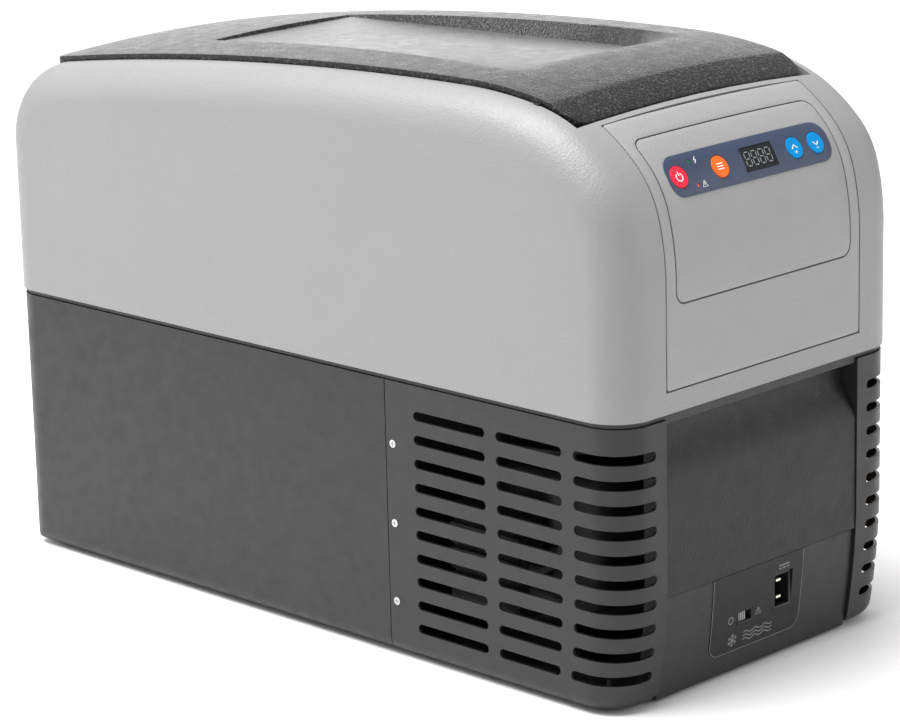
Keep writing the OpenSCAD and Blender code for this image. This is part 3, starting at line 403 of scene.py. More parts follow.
def softenEdges(bm, size, segments=2, angle=60):
    edges = [e for e in bm.edges if len(e.link_faces) == 2 and e.calc_face_angle(0) > radians(angle)]
    bmesh.ops.bevel(bm, geom=edges, offset=size, offset_type="OFFSET", segments=segments, profile=0.5,
                    affect="EDGES", material=-1, clamp_overlap=True)


def flatPlate(box, radius, low, high, hole=None, holeRadius=0, soft=0.25, turn=6):
    # a plate in the y-z plane from x = low to x = high, with an optional window
    bm = bmesh.new()
    faces = roundedFace(bm, box, radius, low, turn)
    if hole:
        inner = roundedFace(bm, hole, holeRadius, low, turn)
        edges = [e for f in faces + inner for e in f.edges]
        bmesh.ops.delete(bm, geom=faces + inner, context="FACES_ONLY")
        faces = bmesh.ops.bridge_loops(bm, edges=edges)["faces"]
    made = bmesh.ops.extrude_face_region(bm, geom=faces)["geom"]
    bmesh.ops.translate(bm, vec=(high - low, 0, 0), verts=newVerts(made))
    bmesh.ops.recalc_face_normals(bm, faces=bm.faces)
    if soft:
        softenEdges(bm, soft)
    return bm


def cutWith(bm, cutter):
    # subtracts one closed mesh from another
    objs = []
    for part in (bm, cutter):
        mesh = bpy.data.meshes.new("cut")
        part.to_mesh(mesh)
        part.free()
        obj = bpy.data.objects.new("cut", mesh)
        bpy.context.scene.collection.objects.link(obj)
        objs.append(obj)
    tool = objs[0].modifiers.new("cut", "BOOLEAN")
    tool.object = objs[1]
    tool.operation = "DIFFERENCE"
    tool.solver = "EXACT"
    result = bmesh.new()
    result.from_object(objs[0], bpy.context.evaluated_depsgraph_get())
    for obj in objs:
        mesh = obj.data
        bpy.data.objects.remove(obj)
        bpy.data.meshes.remove(mesh)
    return result


def addDisc(bm, y, z, radius, low, high, segments=48):
    made = bmesh.ops.create_cone(bm, cap_ends=True, segments=segments, radius1=radius, radius2=radius,
                                 depth=high - low)["verts"]
    bmesh.ops.rotate(bm, verts=made, cent=(0, 0, 0), matrix=Matrix.Rotation(pi / 2, 3, "Y"))
    bmesh.ops.translate(bm, verts=made, vec=((low + high) / 2, y, z))
    return made


def addBlock(bm, low, high):
    made = bmesh.ops.create_cube(bm, size=1)["verts"]
    bmesh.ops.scale(bm, verts=made, vec=[b - a for a, b in zip(low, high)])
    bmesh.ops.translate(bm, verts=made, vec=[(a + b) / 2 for a, b in zip(low, high)])
    return made


def wrapOnNose(bm, box, stepS=4, stepY=14):
    y0, y1, s0, s1 = box
    cutAlong(bm, 2, steps(s0, s1, stepS))
    cutAlong(bm, 1, steps(y0, y1, stepY))
    for v in bm.verts:
        v.co = nosePoint(v.co.z, v.co.y, v.co.x)


# openings of the light housing
lidOpening = {
    "x0": -243.5, "x1": 223, "halfWidth": 106, "well": 308, "flange": 320, "wellX": 172.5, "corner": 6,
    "above": 300, "rimAbove": 280,
}
finger = {"x0": -264, "halfWidth": 28, "floor": 316, "above": 290}
# the last value is how deep the dark strips of painted shade sit below the surface of the nose joints
fascia = {"halfWidth": 89.5, "low": 192, "x": 226.3, "top": 105.45, "skin": 2.6, "gap": 0.9,
          "shadeStripDepth": 0.6}


def makeUpperShell():
    h = housing
    bm = bmesh.new()
    r, half = h["edgeRadius"], h["halfWidth"] - h["edgeRadius"]
    turn = [90 * i / h["edgeSteps"] for i in range(h["edgeSteps"] + 1)]
    side = [(r * (1 - cos(radians(t))), half + r * sin(radians(t))) for t in turn]
    section = [(e, -y) for e, y in reversed(side)]
    section += [(0, y) for y in h["across"]] + side
    verts = [bm.verts.new((-h["halfLength"] + e, y, h["seam"])) for e, y in section]
    last = [bm.edges.new(pair) for pair in zip(verts, verts[1:])]

    def draw(edges, up):
        made = bmesh.ops.extrude_edge_only(bm, edges=edges)["geom"]
        bmesh.ops.translate(bm, vec=(0, 0, up), verts=newVerts(made))
        return [e for e in made if isinstance(e, bmesh.types.BMEdge)
                and abs(e.verts[0].co.z - e.verts[1].co.z) < 1e-4]

    last = draw(last, h["farZ"] - h["seam"])
    for (cx, cz), (radius, start, end, count) in zip(centres, arcs):
        geom = last + list(dict.fromkeys(v for e in last for v in e.verts))
        last = bmesh.ops.spin(bm, geom=geom, cent=(cx, 0, cz), axis=(0, 1, 0), dvec=(0, 0, 0),
                              angle=radians(start - end), steps=count)["geom_last"]
        last = [e for e in last if isinstance(e, bmesh.types.BMEdge)]
    draw(last, h["seam"] - h["noseZ"])
    bmesh.ops.remove_doubles(bm, verts=bm.verts, dist=0.01)
    for sign in (-1, 1):
        wall = [v for v in bm.verts if abs(v.co.y - sign * h["halfWidth"]) < 0.01]
        wall.sort(key=lambda v: atan2(v.co.x, v.co.z - 100))
        bm.faces.new(wall)
    bm.normal_update()
    bmesh.ops.recalc_face_normals(bm, faces=bm.faces)
    bm.normal_update()
    lifts = {v: crownAt(v.co.y, v.co.z, v.normal.z) for v in bm.verts if abs(v.co.y) < 104}
    for v, lift in lifts.items():
        v.co += v.normal * lift
        v.co.x = max(-h["halfLength"], min(h["halfLength"], v.co.x))
    o, f = lidOpening, finger
    cutAlong(bm, 0, [o["x0"], o["x1"], f["x0"], fascia["x"]])
    cutAlong(bm, 1, [-o["halfWidth"], o["halfWidth"], -fascia["halfWidth"], fascia["halfWidth"],
                     -f["halfWidth"], f["halfWidth"]])
    cutAlong(bm, 2, [fascia["low"]])

    def inOpening(p):
        return (o["x0"] < p.x < o["x1"] and abs(p.y) < o["halfWidth"] and p.z > o["above"]) or \
            (f["x0"] < p.x < o["x1"] and abs(p.y) < f["halfWidth"] and p.z > f["above"])

    gone = [q for q in bm.faces if inOpening(q.calc_center_median()) or (
        q.calc_center_median().x > fascia["x"] and abs(q.calc_center_median().y) < fascia["halfWidth"]
        and q.calc_center_median().z > fascia["low"])]
    bmesh.ops.delete(bm, geom=gone, context="FACES")
    rimEdges = [e for e in bm.edges if e.is_boundary and all(
        v.co.z > o["rimAbove"] and v.co.x < o["x1"] + 0.1 and abs(v.co.y) < o["halfWidth"] + 0.1
        for v in e.verts)]
    made = bmesh.ops.extrude_edge_only(bm, edges=rimEdges)["geom"]
    for v in made:
        if isinstance(v, bmesh.types.BMVert):
            v.co.z = o["well"]
    corners = [e for e in made if isinstance(e, bmesh.types.BMEdge) and len(e.link_faces) == 2
               and abs(e.verts[0].co.x - e.verts[1].co.x) < 1e-3
               and abs(e.verts[0].co.y - e.verts[1].co.y) < 1e-3
               and e.calc_face_angle(0) > 1]
    corners += [e for e in bm.edges if len(e.link_faces) == 2 and e.calc_face_angle(0) > 1
                and abs(e.verts[0].co.z - e.verts[1].co.z) > 8
                and (e.verts[0].co - e.verts[1].co).xy.length < 1e-3 and e not in corners]
    bmesh.ops.bevel(bm, geom=corners, offset=o["corner"], offset_type="OFFSET", segments=5, profile=0.5,
                    affect="EDGES", material=-1, clamp_overlap=True)
    # floors of the hinge well and of the finger recess
    for x0, x1, y1, z in ((o["wellX"], o["x1"] + 1, o["halfWidth"] + 1, o["well"]),
                          (f["x0"] - 1, o["x0"] - 0.5, f["halfWidth"] + 1, f["floor"])):
        bm.faces.new([bm.verts.new(p) for p in ((x0, -y1, z), (x1, -y1, z), (x1, y1, z), (x0, y1, z))])
    y1 = o["halfWidth"] + 1
    x = o["wellX"]
    bm.faces.new([bm.verts.new(p) for p in ((x, -y1, o["well"]), (x, y1, o["well"]), (x, y1, o["flange"]),
                                            (x, -y1, o["flange"]))])
    bm.normal_update()
    newPiece(bm, "upper_shell_shown", "light_plastic", bodyOf["upper_shell"],
             ("upper_shell",), thickness=h["wall"] - 0.4, bevel=0.6, segments=3, angle=50)


def makeFascia():
    f, gap = fascia, fascia["gap"]
    box = (-f["halfWidth"] + gap, f["halfWidth"] - gap, f["low"] - housing["noseZ"] + gap, f["top"])
    b = bezel
    hole = (-b["halfWidth"], b["halfWidth"], b["low"], b["top"])
    bm = flatPlate(box, 2, -f["skin"], 0, hole, b["corner"], soft=0.22)
    wrapOnNose(bm, box)
    newPiece(bm, "front_fascia_shown", "panel_plastic", bodyOf["front_fascia"],
             ("front_fascia",))


bezel = {
    "halfWidth": 80.5, "low": -13, "top": 89.5, "corner": 8, "gap": 0.95, "soft": 0.22,
    # room round each key and the window, and the radius of the holes for the lights
    "keyRoom": 0.4, "windowRoom": 0.2, "lightHole": 1.4,
}
controls = {
    "labelHalf": 73, "labelY": 1, "labelLow": 47.2, "labelHigh": 72.8, "labelCorner": 10, "labelThick": 0.5,
    "buttonS": 59.5, "buttonRadius": 6.8, "buttonY": {"power": -63, "set": -27.1, "up": 41.1, "down": 61.2},
    "windowY": 8.2, "windowS": 59.6, "windowHalf": (14.5, 7.3), "lightY": -50, "lightS": (66.9, 52.1),
    # the same room in the label, which lies over the bezel
    "keyRoom": 0.25, "windowRoom": 0.1, "lightHole": 1.35, "labelSoft": 0.12,
}


def makeSeamShadeStrips():
    # dark strips that lie a little below the surface in the two joints of the nose: painted shade that makes the
    # gaps look deep and dark
    f, b = fascia, bezel
    outer = (-f["halfWidth"], f["halfWidth"], f["low"] - housing["noseZ"], f["top"] - 1)
    inner = (-b["halfWidth"], b["halfWidth"], b["low"], b["top"])
    for name, box, gap, corner in (("fascia_seam_shade", outer, f["gap"], 2),
                                   ("bezel_seam_shade", inner, b["gap"], b["corner"])):
        inset = gap + 0.05
        hole = (box[0] + inset, box[1] - inset, box[2] + inset, box[3] - inset)
        bm = flatPlate(box, corner, -f["skin"], -f["shadeStripDepth"], hole, max(corner - gap, 0.5), soft=0)
        wrapOnNose(bm, box)
        newPiece(bm, name, "black_plastic", "cabinet")


def controlHoles(room, depth):
    # the cutter for the keys, the lights and the window; room is the dictionary of the plate it cuts
    c = controls
    cutter = bmesh.new()
    for y in c["buttonY"].values():
        addDisc(cutter, y, c["buttonS"], c["buttonRadius"] + room["keyRoom"], -depth, depth)
    for s in c["lightS"]:
        addDisc(cutter, c["lightY"], s, room["lightHole"], -depth, depth, 24)
    halfY, halfS = c["windowHalf"][0] + room["windowRoom"], c["windowHalf"][1] + room["windowRoom"]
    addBlock(cutter, (-depth, c["windowY"] - halfY, c["windowS"] - halfS),
             (depth, c["windowY"] + halfY, c["windowS"] + halfS))
    return cutter


def makeBezel():
    b, gap = bezel, bezel["gap"]
    box = (-b["halfWidth"] + gap, b["halfWidth"] - gap, b["low"] + gap, b["top"] - gap)
    bm = flatPlate(box, b["corner"] - gap, -fascia["skin"], 0, soft=b["soft"])
    bm = cutWith(bm, controlHoles(b, 8))
    wrapOnNose(bm, box)
    newPiece(bm, "control_bezel_shown", "panel_plastic", bodyOf["control_bezel"],
             ("control_bezel",))


def makeLabel():
    c = controls
    box = (c["labelY"] - c["labelHalf"], c["labelY"] + c["labelHalf"], c["labelLow"], c["labelHigh"])
    bm = flatPlate(box, c["labelCorner"], 0.02, c["labelThick"], soft=c["labelSoft"], turn=10)
    bm = cutWith(bm, controlHoles(c, 2))
    wrapOnNose(bm, box)
    newPiece(bm, "control_label_shown", "label_film", bodyOf["control_label"],
             ("control_label",))


def stroke(bm, points, width, low, high):
    # a flat ribbon of constant width along a route of (y, s) points
    left, right = [], []
    for i, p in enumerate(points):
        a, b = points[max(0, i - 1)], points[min(len(points) - 1, i + 1)]
        d = Vector((b[0] - a[0], b[1] - a[1])).normalized() * width / 2
        left.append((p[0] - d.y, p[1] + d.x))
        right.append((p[0] + d.y, p[1] - d.x))
    before = set(bm.faces)
    rails = [[bm.verts.new((low, y, s)) for y, s in rail] for rail in (left, right)]
    for i in range(len(points) - 1):
        bm.faces.new((rails[0][i], rails[0][i + 1], rails[1][i + 1], rails[1][i]))
    faces = [f for f in bm.faces if f not in before]
    made = bmesh.ops.extrude_face_region(bm, geom=faces)["geom"]
    bmesh.ops.translate(bm, vec=(high - low, 0, 0), verts=newVerts(made))


def arcPoints(y, s, radius, start, end, count=20):
    return [(y + radius * cos(radians(start + (end - start) * i / count)),
             s + radius * sin(radians(start + (end - start) * i / count))) for i in range(count + 1)]


keys = {"top": 0.75, "foot": -4.6, "soft": 0.45, "ring": 1.6, "dish": 0.22, "line": 0.55, "fineLine": 0.4}


def makeButtons():
    c, k = controls, keys
    colours = {"power": "red_plastic", "set": "orange_plastic", "up": "blue_plastic", "down": "blue_plastic"}
    s, top = c["buttonS"], k["top"]
    for name, y in c["buttonY"].items():
        bm = bmesh.new()
        addDisc(bm, y, s, c["buttonRadius"], k["foot"], top, 64)
        face = max(bm.faces, key=lambda q: q.calc_center_median().x)
        bmesh.ops.bevel(bm, geom=list(face.edges), offset=k["soft"], offset_type="OFFSET", segments=3,
                        profile=0.5, affect="EDGES", material=-1)
        face = max((q for q in bm.faces if len(q.verts) > 8), key=lambda q: q.calc_center_median().x)
        for ring in range(3):
            bmesh.ops.inset_region(bm, faces=[face], thickness=k["ring"], depth=0)
        # a shallow dish under the fingertip
        for v in bm.verts:
            reach = Vector((v.co.y - y, v.co.z - s)).length
            if v.co.x > top - 0.01:
                v.co.x -= k["dish"] * (1 - min(1, reach / (c["buttonRadius"] - 0.5)) ** 2)
        tilt(bm, y)
        newPiece(bm, name + "_button_shown", colours[name], bodyOf[name + "_button"],
                 (name + "_button",), sharp=40)
        ink = bmesh.new()
        low, high = top - 0.21, top + 0.03
        if name == "power":
            stroke(ink, arcPoints(y, s - 0.3, 2.5, 125, 415), k["line"], low, high)
            stroke(ink, [(y, s + 0.4), (y, s + 3.2)], k["line"], low, high)
        if name == "set":
            for row in (-1, 0, 1):
                stroke(ink, [(y - 2.6, s + 1.7 * row), (y + 2.6, s + 1.7 * row)], k["line"], low, high)
        if name in ("up", "down"):
            sign = 1 if name == "up" else -1
            stroke(ink, [(y - 2.3, s - sign * 0.6), (y, s + sign * 1.7), (y + 2.3, s - sign * 0.6)], 0.6, low,
                   high)
            bar = s - (3.4 if name == "down" else 3)
            stroke(ink, [(y - 1, bar), (y + 1, bar)], k["fineLine"], low, high)
            if name == "up":
                stroke(ink, [(y, s - 4), (y, s - 2)], k["fineLine"], low, high)
        tilt(ink, y)
        newPiece(ink, name + "_mark", "white_ink", bodyOf[name + "_button"])


def tilt(bm, y):
    # sets a piece built flat on the tangent plane of its button
    s = controls["buttonS"]
    slope = radians(noseSlope(s))
    at = nosePoint(s, y, 0)
    out, up = Vector((-sin(slope), 0, cos(slope))), Vector((-cos(slope), 0, -sin(slope)))
    for v in bm.verts:
        x, dy, dz = v.co.x, v.co.y - y, v.co.z - s
        v.co = at + out * x + Vector((0, 1, 0)) * dy + up * dz


def makeLabelMarks():
    c = controls
    low, high = c["labelThick"] - 0.02, c["labelThick"] + 0.03
    bm = bmesh.new()
    y, s = c["lightY"] + 5.4, c["lightS"][0]
    stroke(bm, [(y + 0.9, s + 1.9), (y - 0.9, s - 0.2), (y + 0.9, s + 0.2), (y - 0.9, s - 1.9)], 0.5, low,
           high)
    s = c["lightS"][1]
    stroke(bm, [(y, s + 1.9), (y - 2.1, s - 1.6), (y + 2.1, s - 1.6), (y, s + 1.9)], 0.45, low, high)
    stroke(bm, [(y, s + 0.5), (y, s - 0.7)], 0.45, low, high)
    wrapOnNose(bm, (-50, -38, 50, 69), 3, 4)
    newPiece(bm, "label_marks", "white_ink", "cabinet")
    print("controls")


digits = {"count": 4, "width": 4.3, "height": 8.8, "start": -12.2, "pitch": 6.2, "lean": 0.09, "line": 0.55,
          "x": (0.12, 0.22)}


def makeDisplay():
    c, d = controls, digits
    segments = bmesh.new()
    w, h, lean = d["width"], d["height"], d["lean"]
    for k in range(d["count"]):
        y0 = c["windowY"] + d["start"] + k * d["pitch"]
        s0 = c["windowS"] - h / 2
        for i in (0, 1, 2):
            s = s0 + h * i / 2
            y = y0 + lean * (s - s0)
            stroke(segments, [(y + 0.6, s), (y + w - 0.6, s)], d["line"], *d["x"])
        for i in (0, 1):
            for dy in (0, w):
                a, b = s0 + h * i / 2 + 0.7, s0 + h * (i + 1) / 2 - 0.7
                stroke(segments, [(y0 + dy + lean * (a - s0), a), (y0 + dy + lean * (b - s0), b)], d["line"],
                       *d["x"])
    slope = radians(noseSlope(c["windowS"]))
    at = nosePoint(c["windowS"], c["windowY"], 0)
    out, up = Vector((-sin(slope), 0, cos(slope))), Vector((-cos(slope), 0, -sin(slope)))
    for v in segments.verts:
        x, dy, dz = v.co
        v.co = at + out * x + Vector((0, 1, 0)) * (dy - c["windowY"]) + up * (dz - c["windowS"])
    newPiece(segments, "display_segments", "dim_segment", "cabinet")


lid = {
    "x0": -242, "x1": 220.5, "half": 104.5, "skirt": 326, "wall": 2.8, "noseSkirt": 335, "corner": 5,
    "frontCorner": 13,
    "insertX": (-131, 118), "insertHalf": 60, "rampX": 155, "ridge": 202, "depth": 5.2, "rise": 0.0305,
    "flare": 14, "frontFall": 4, "shoulder": 1.5, "insertLift": 1.7, "hingeX": 174, "aboveSkirt": 330,
    # cuts across and along the lid, close together where the front folds down
    "frontCuts": [196, 198.5, 200.5, 202, 203.5, 205.5, 208, 211, 214, 217],
    "sideCuts": (15, 30, 45, 60.01, 80, 92, 100),
}


def clamp(v, low=0, high=1):
    return min(high, max(low, v))


def insertFloor(x):
    x0 = lid["insertX"][0]
    return rimZ(x0) + housing["crown"] + housing["lidProud"] - lid["depth"] + (x - x0) * lid["rise"]


def lidSkin(x, y):
    front = clamp((x - lid["ridge"]) / (lid["x1"] - lid["ridge"]))
    crown = housing["crown"] * (1 - (y / housing["crownHalf"]) ** 2)
    return rimZ(x) + crown + housing["lidProud"] - lid["frontFall"] * front


def recessHalf(x):
    x0 = lid["insertX"][0]
    return lid["insertHalf"] + 2 + lid["flare"] * clamp((x - x0) / (lid["rampX"] - x0))


def makeLid():
    d = lid
    x0, x1 = d["insertX"]
    bm = bmesh.new()
    half = d["half"]
    corners = [bm.verts.new(p) for p in ((d["x0"], -half, 0), (d["x1"], -half, 0), (d["x1"], half, 0),
                                         (d["x0"], half, 0))]
    bm.faces.new(corners)
    for ends, r in ((corners[1:3], d["frontCorner"]), ((corners[0], corners[3]), d["corner"])):
        bmesh.ops.bevel(bm, geom=list(ends), offset=r, offset_type="OFFSET", segments=8, profile=0.5,
                        affect="VERTICES", material=-1)
    cutAlong(bm, 0, [x0 - 3, x0] + steps(x0, x1, 16) + [x1] + steps(x1, d["rampX"], 5) + [d["rampX"]]
             + steps(d["rampX"], d["frontCuts"][0], 8) + d["frontCuts"] + steps(d["x0"], x0 - 3, 12))
    cutAlong(bm, 1, [0] + [s * y for y in d["sideCuts"] for s in (-1, 1)])
    # the recess: insert floor, flared sides and a ramp at the hinge end
    for sign in (-1, 1):
        a, b = recessHalf(x0), recessHalf(d["rampX"])
        way = Vector((d["rampX"] - x0, sign * (b - a), 0)).normalized()
        geom = bm.verts[:] + bm.edges[:] + bm.faces[:]
        bmesh.ops.bisect_plane(bm, geom=geom, dist=1e-4, plane_co=(x0, sign * a, 0),
                               plane_no=way.cross(Vector((0, 0, 1))))
    for v in bm.verts:
        x, y = v.co.x, v.co.y
        skin = lidSkin(x, y)
        w = max(clamp((abs(y) - d["insertHalf"]) / (recessHalf(x) - d["insertHalf"])), clamp((x0 - x) / 3),
                clamp((x - x1) / (d["rampX"] - x1)) ** 0.8)
        floor = insertFloor(x)
        v.co.z = floor + (skin - floor) * w
    rim = [e for e in bm.edges if e.is_boundary]
    made = bmesh.ops.extrude_edge_only(bm, edges=rim)["geom"]
    for v in made:
        if isinstance(v, bmesh.types.BMVert):
            v.co.z = d["skirt"] if v.co.x < d["hingeX"] else d["noseSkirt"]
    bmesh.ops.recalc_face_normals(bm, faces=bm.faces)
    soft = [e for e in bm.edges if len(e.link_faces) == 2 and e.calc_face_angle(0) > radians(50)
            and e.verts[0].co.z > d["aboveSkirt"] and abs(e.verts[0].co.z - e.verts[1].co.z) < 6]
    bmesh.ops.bevel(bm, geom=soft, offset=d["shoulder"], offset_type="OFFSET", segments=4, profile=0.5,
                    affect="EDGES", material=-1, clamp_overlap=True)
    newPiece(bm, "lid_cover_shown", "lid_plastic", bodyOf["lid_cover"], ("lid_cover",),
             sharp=40, thickness=d["wall"] - 0.6)


def makeLidInsert():
    d = lid
    x0, x1 = d["insertX"]
    bm = flatPlate((-d["insertHalf"] + 1, d["insertHalf"] - 1, x0 + 1, x1 - 0.5), 3, 0, 1.1, soft=0.35)
    for v in bm.verts:
        lift, y, x = v.co
        back = 1 - clamp((x - x0) / (x1 - x0))
        v.co = Vector((x, y, insertFloor(x) + 0.05 + lift + (d["insertLift"] * back if lift > 0.5 else 0)))
    newPiece(bm, "lid_insert_shown", "insert_plastic", bodyOf["lid_insert"],
             ("lid_insert",))


pinCap = {"x": (190, 194.6), "y": (104.2, 107.2), "z": (349.5, 353.9), "soft": 0.5}


def makePinCaps():
    c = pinCap
    for side, name in ((-1, "pin_cap_left"), (1, "pin_cap_right")):
        bm = bmesh.new()
        y0, y1 = sorted(side * y for y in c["y"])
        addBlock(bm, (c["x"][0], y0, c["z"][0]), (c["x"][1], y1, c["z"][1]))
        softenEdges(bm, c["soft"])
        newPiece(bm, name, "black_plastic", "cabinet")


dark = {
    "halfLength": 273.8, "halfWidth": 128.4, "corner": 25, "floor": 2, "top": 175.8, "curveZ": 90,
    "curveRadius": 480, "edge": 9, "wall": 2,
}
vents = {
    "x0": 83.3, "inner": 88.8, "rows": 10, "pitch": 14.98, "first": 157, "height": 6,
    "columns": ((107.1, 166.1), (175.2, 227.5)), "wrapFrom": 236.6, "wrapTo": -98, "cheek": 16,
    "screwX": 89, "screwZ": (35.8, 85.8, 136.2), "screwHole": 2.7, "underLap": 6,
    "bendSteps": 14, "rollSteps": 6,
}


def frontPull(z):
    # how far the nose of the dark housing curves in below curveZ
    d = dark
    return 0 if z > d["curveZ"] else d["curveRadius"] - sqrt(d["curveRadius"] ** 2 - (d["curveZ"] - z) ** 2)


def makeVentCover(side):
    d, v = dark, vents
    straight = d["halfLength"] - d["corner"] - v["x0"]
    bend = d["corner"] * pi / 2
    face = d["halfWidth"] - d["corner"] - v["inner"]
    total = straight + bend + face
    end = total + v["cheek"]
    turnZ = d["floor"] + d["edge"]
    low = turnZ - d["edge"] * pi / 2 - v["underLap"]
    bm = flatPlate((0, end, low, d["top"]), 0, 0, d["wall"], soft=0)
    cutter = bmesh.new()
    wrapStart = v["wrapFrom"] - v["x0"]
    wrapEnd = straight + bend + (d["halfWidth"] - d["corner"] + v["wrapTo"])
    spans = [(a - v["x0"], b - v["x0"]) for a, b in v["columns"]] + [(wrapStart, wrapEnd)]
    half = v["height"] / 2
    for k in range(v["rows"]):
        z = v["first"] - v["pitch"] * k
        for p0, p1 in spans:
            faces = roundedFace(cutter, (p0, p1, z - half, z + half), half - 0.01, -3, 6)
            made = bmesh.ops.extrude_face_region(cutter, geom=faces)["geom"]
            bmesh.ops.translate(cutter, vec=(9, 0, 0), verts=newVerts(made))
    for z in v["screwZ"]:
        addDisc(cutter, v["screwX"] - v["x0"], z, v["screwHole"], -3, 6, 32)
    bmesh.ops.recalc_face_normals(cutter, faces=cutter.faces)
    bm = cutWith(bm, cutter)
    cutAlong(bm, 1, [straight + bend * i / v["bendSteps"] for i in range(v["bendSteps"] + 1)] + [total])
    cutAlong(bm, 2, [turnZ - d["edge"] * pi / 2 * i / v["rollSteps"] for i in range(v["rollSteps"] + 1)]
             + steps(turnZ, d["curveZ"], 13))
    for q in bm.verts:
        depth, p, z = d["wall"] - q.co.x, q.co.y, q.co.z
        # roll the foot of the sheet under
        drop = turnZ - z
        if drop > 0:
            a = min(drop / d["edge"], pi / 2)
            over = max(0, drop - d["edge"] * pi / 2)
            z = turnZ - (d["edge"] - depth) * sin(a)
            depth = d["edge"] - (d["edge"] - depth) * cos(a) + over
        if p <= straight:
            x, y = v["x0"] + p, -d["halfWidth"] + depth
        elif p <= straight + bend:
            a = (p - straight) / d["corner"]
            x = d["halfLength"] - d["corner"] + (d["corner"] - depth) * sin(a)
            y = -d["halfWidth"] + d["corner"] - (d["corner"] - depth) * cos(a)
        elif p <= total + 0.001:
            x, y = d["halfLength"] - depth, -d["halfWidth"] + d["corner"] + (p - straight - bend)
            y = min(y, -v["inner"] - (depth if p > total - 0.01 else 0))
        else:
            x, y = d["halfLength"] - (p - total), -v["inner"] - depth
        pull = frontPull(max(z, d["floor"])) * clamp((x - 190) / 60)
        q.co = Vector((x - pull, -side * y, z))
    name = "vent_cover_right" if side > 0 else "vent_cover_left"
    newPiece(bm, name + "_shown", "vent_plastic", "cabinet", (name,), bevel=0.7, segments=3,
             angle=45)


gripProfile = {
    "top": 172.8, "bandX": 261.2, "bandLow": 164, "faceX": 272.7, "faceTop": 138, "faceMid": 105, "low": 67.2,
    "half": 88.5, "wall": 2.6, "curveSteps": 12, "straightShare": 0.45,
}


def makeGripPanel():
    g = gripProfile
    bm = bmesh.new()
    # smooth S between the band at the back and the flush face
    route = [(g["bandX"], g["top"]), (g["bandX"], g["bandLow"])]
    share = g["straightShare"]
    for i in range(1, g["curveSteps"] + 1):
        t = i / g["curveSteps"]
        ease = t * t * (3 - 2 * t)
        route.append((g["bandX"] + (g["faceX"] - g["bandX"]) * (share * t + (1 - share) * ease),
                      g["bandLow"] + (g["faceTop"] - g["bandLow"]) * t))
    route += [(g["faceX"], g["faceMid"]), (g["faceX"], g["low"])]
    verts = [bm.verts.new((x, -g["half"], z)) for x, z in route]
    edges = [bm.edges.new(pair) for pair in zip(verts, verts[1:])]
    made = bmesh.ops.extrude_edge_only(bm, edges=edges)["geom"]
    bmesh.ops.translate(bm, vec=(0, 2 * g["half"], 0), verts=newVerts(made))
    bmesh.ops.recalc_face_normals(bm, faces=bm.faces)
    if sum(q.normal.x for q in bm.faces) < 0:
        bmesh.ops.reverse_faces(bm, faces=bm.faces)
    newPiece(bm, "grip_panel_shown", "grip_plastic", "cabinet", ("grip_panel",),
             thickness=g["wall"], bevel=0.5, angle=50, sharp=50, tidy=False)


plate = {
    "left": -44.5, "right": 40.6, "low": 15, "top": 66, "plateTop": 66.4, "corner": 9,
    "lift": 0.03, "inset": 0.6,
    "line": 0.55, "boldLine": 0.7, "outline": 0.3, "flakeRadius": 4.2, "wave": (0.8, 36, 6),
    # y and z of each symbol; the waves have both ends in y
    "socket": (21.9, 59.2), "normal": (-26, 36.3), "override": (-0.5, 36.3), "flake": (-23, 22.8),
    "waves": (-13, 14, 22.8),
}


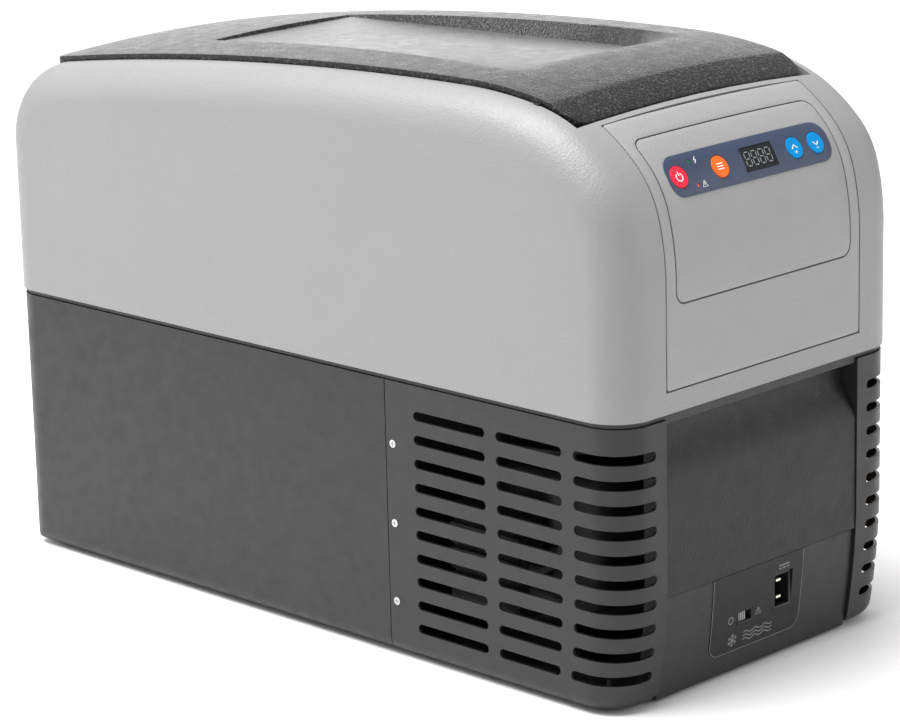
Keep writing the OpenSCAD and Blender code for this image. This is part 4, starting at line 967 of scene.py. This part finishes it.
def makePlateMarks():
    # generic symbols of the socket plate: direct current, normal, warning, cold air
    p = plate
    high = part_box("socket_label")[1][0] / mm
    low, up = -0.05, p["lift"]
    bm = bmesh.new()
    y, z = p["socket"]
    stroke(bm, [(y - 5, z + 1.2), (y + 5, z + 1.2)], p["boldLine"], low, up)
    for k in (-1, 0, 1):
        stroke(bm, [(y + 3.6 * k - 1.3, z - 0.7), (y + 3.6 * k + 1.3, z - 0.7)], p["boldLine"], low, up)
    y, z = p["normal"]
    stroke(bm, arcPoints(y, z, 2.1, 0, 360), p["line"], low, up)
    y, z = p["override"]
    stroke(bm, [(y, z + 2.4), (y - 2.6, z - 1.9), (y + 2.6, z - 1.9), (y, z + 2.4)], p["line"], low, up)
    stroke(bm, [(y, z + 0.8), (y, z - 0.9)], p["line"], low, up)
    y, z = p["flake"]
    for k in range(6):
        a = radians(60 * k + 30)
        tip = (y + p["flakeRadius"] * cos(a), z + p["flakeRadius"] * sin(a))
        stroke(bm, [(y, z), tip], 0.6, low, up)
        for turn in (-50, 50):
            b = a + radians(turn)
            start = (y + 2.4 * cos(a), z + 2.4 * sin(a))
            stroke(bm, [start, (start[0] + 1.5 * cos(b), start[1] + 1.5 * sin(b))], 0.5, low, up)
    y0, y1, z = p["waves"]
    swing, count, half = p["wave"]
    for rise in (-2.4, 0, 2.4):
        route = [(y0 + (y1 - y0) * i / count, z + rise + swing * sin(pi * i / half)) for i in range(count + 1)]
        stroke(bm, route, 0.6, low, up)
    # thin outline of the plate
    r, edge = p["corner"], p["inset"]
    route = [(p["left"] + edge, p["top"])] + arcPoints(p["left"] + r, p["low"] + r, r - edge, 180, 270, 10)
    route += arcPoints(p["right"] - r, p["low"] + r, r - edge, 270, 360, 10) + [(p["right"] - edge, p["top"])]
    stroke(bm, route, p["outline"], low, up)
    cutAlong(bm, 2, steps(p["low"], p["top"], 4))
    for v in bm.verts:
        v.co.x += high - frontPull(v.co.z) + frontPull(p["plateTop"])
    newPiece(bm, "plate_marks", "grey_ink", "cabinet")


materials = {name: makeMaterial(name, f) for name, f in finishes.items()}
print("materials:", len(materials))
makeCamera()
makeStudio()
makeUpperShell()
print("upper shell")
makeFascia()
makeBezel()
makeSeamShadeStrips()
makeLabel()
makeButtons()
makeLabelMarks()
makeDisplay()
makeLid()
makeLidInsert()
makePinCaps()
print("lid")
makeVentCover(-1)
makeVentCover(1)
makeGripPanel()
makePlateMarks()
print("dark housing")
refined = {
    # node: bevel width in mm
    "lower_shell": 0.8, "mid_frame": 0.5, "service_panel": 0.4, "socket_label": 0.1, "dc_socket": 0.4,
    "socket_pins": 0.2, "override_switch": 0.25, "override_knob": 0.25, "display_window": 0.2, "base_plate": 0.4,
    "rubber_feet": 0.4, "inner_liner": 0.8, "lid_liner": 0.9, "lid_latch": 0.3, "latch_catch": 0.3,
    "hinge_brackets": 0.4, "lid_gasket": 0.5, "start_unit": 0.8, "fan_frame": 0.4, "partition": 0.3,
    "compressor_foot": 0.4,
}
for node, width in refined.items():
    refine(node, slotOf[node], width)
replacedNodes = set(refined) | {"upper_shell", "front_fascia", "control_bezel", "control_label", "lid_cover",
                                "lid_insert", "vent_cover_left", "vent_cover_right", "grip_panel", "power_button",
                                "set_button", "up_button", "down_button"}
for node, obj in frame["nodes"].items():
    if node not in replacedNodes:
        obj.data.materials.clear()
        obj.data.materials.append(materials[slotOf[node]])
print("pieces finished")
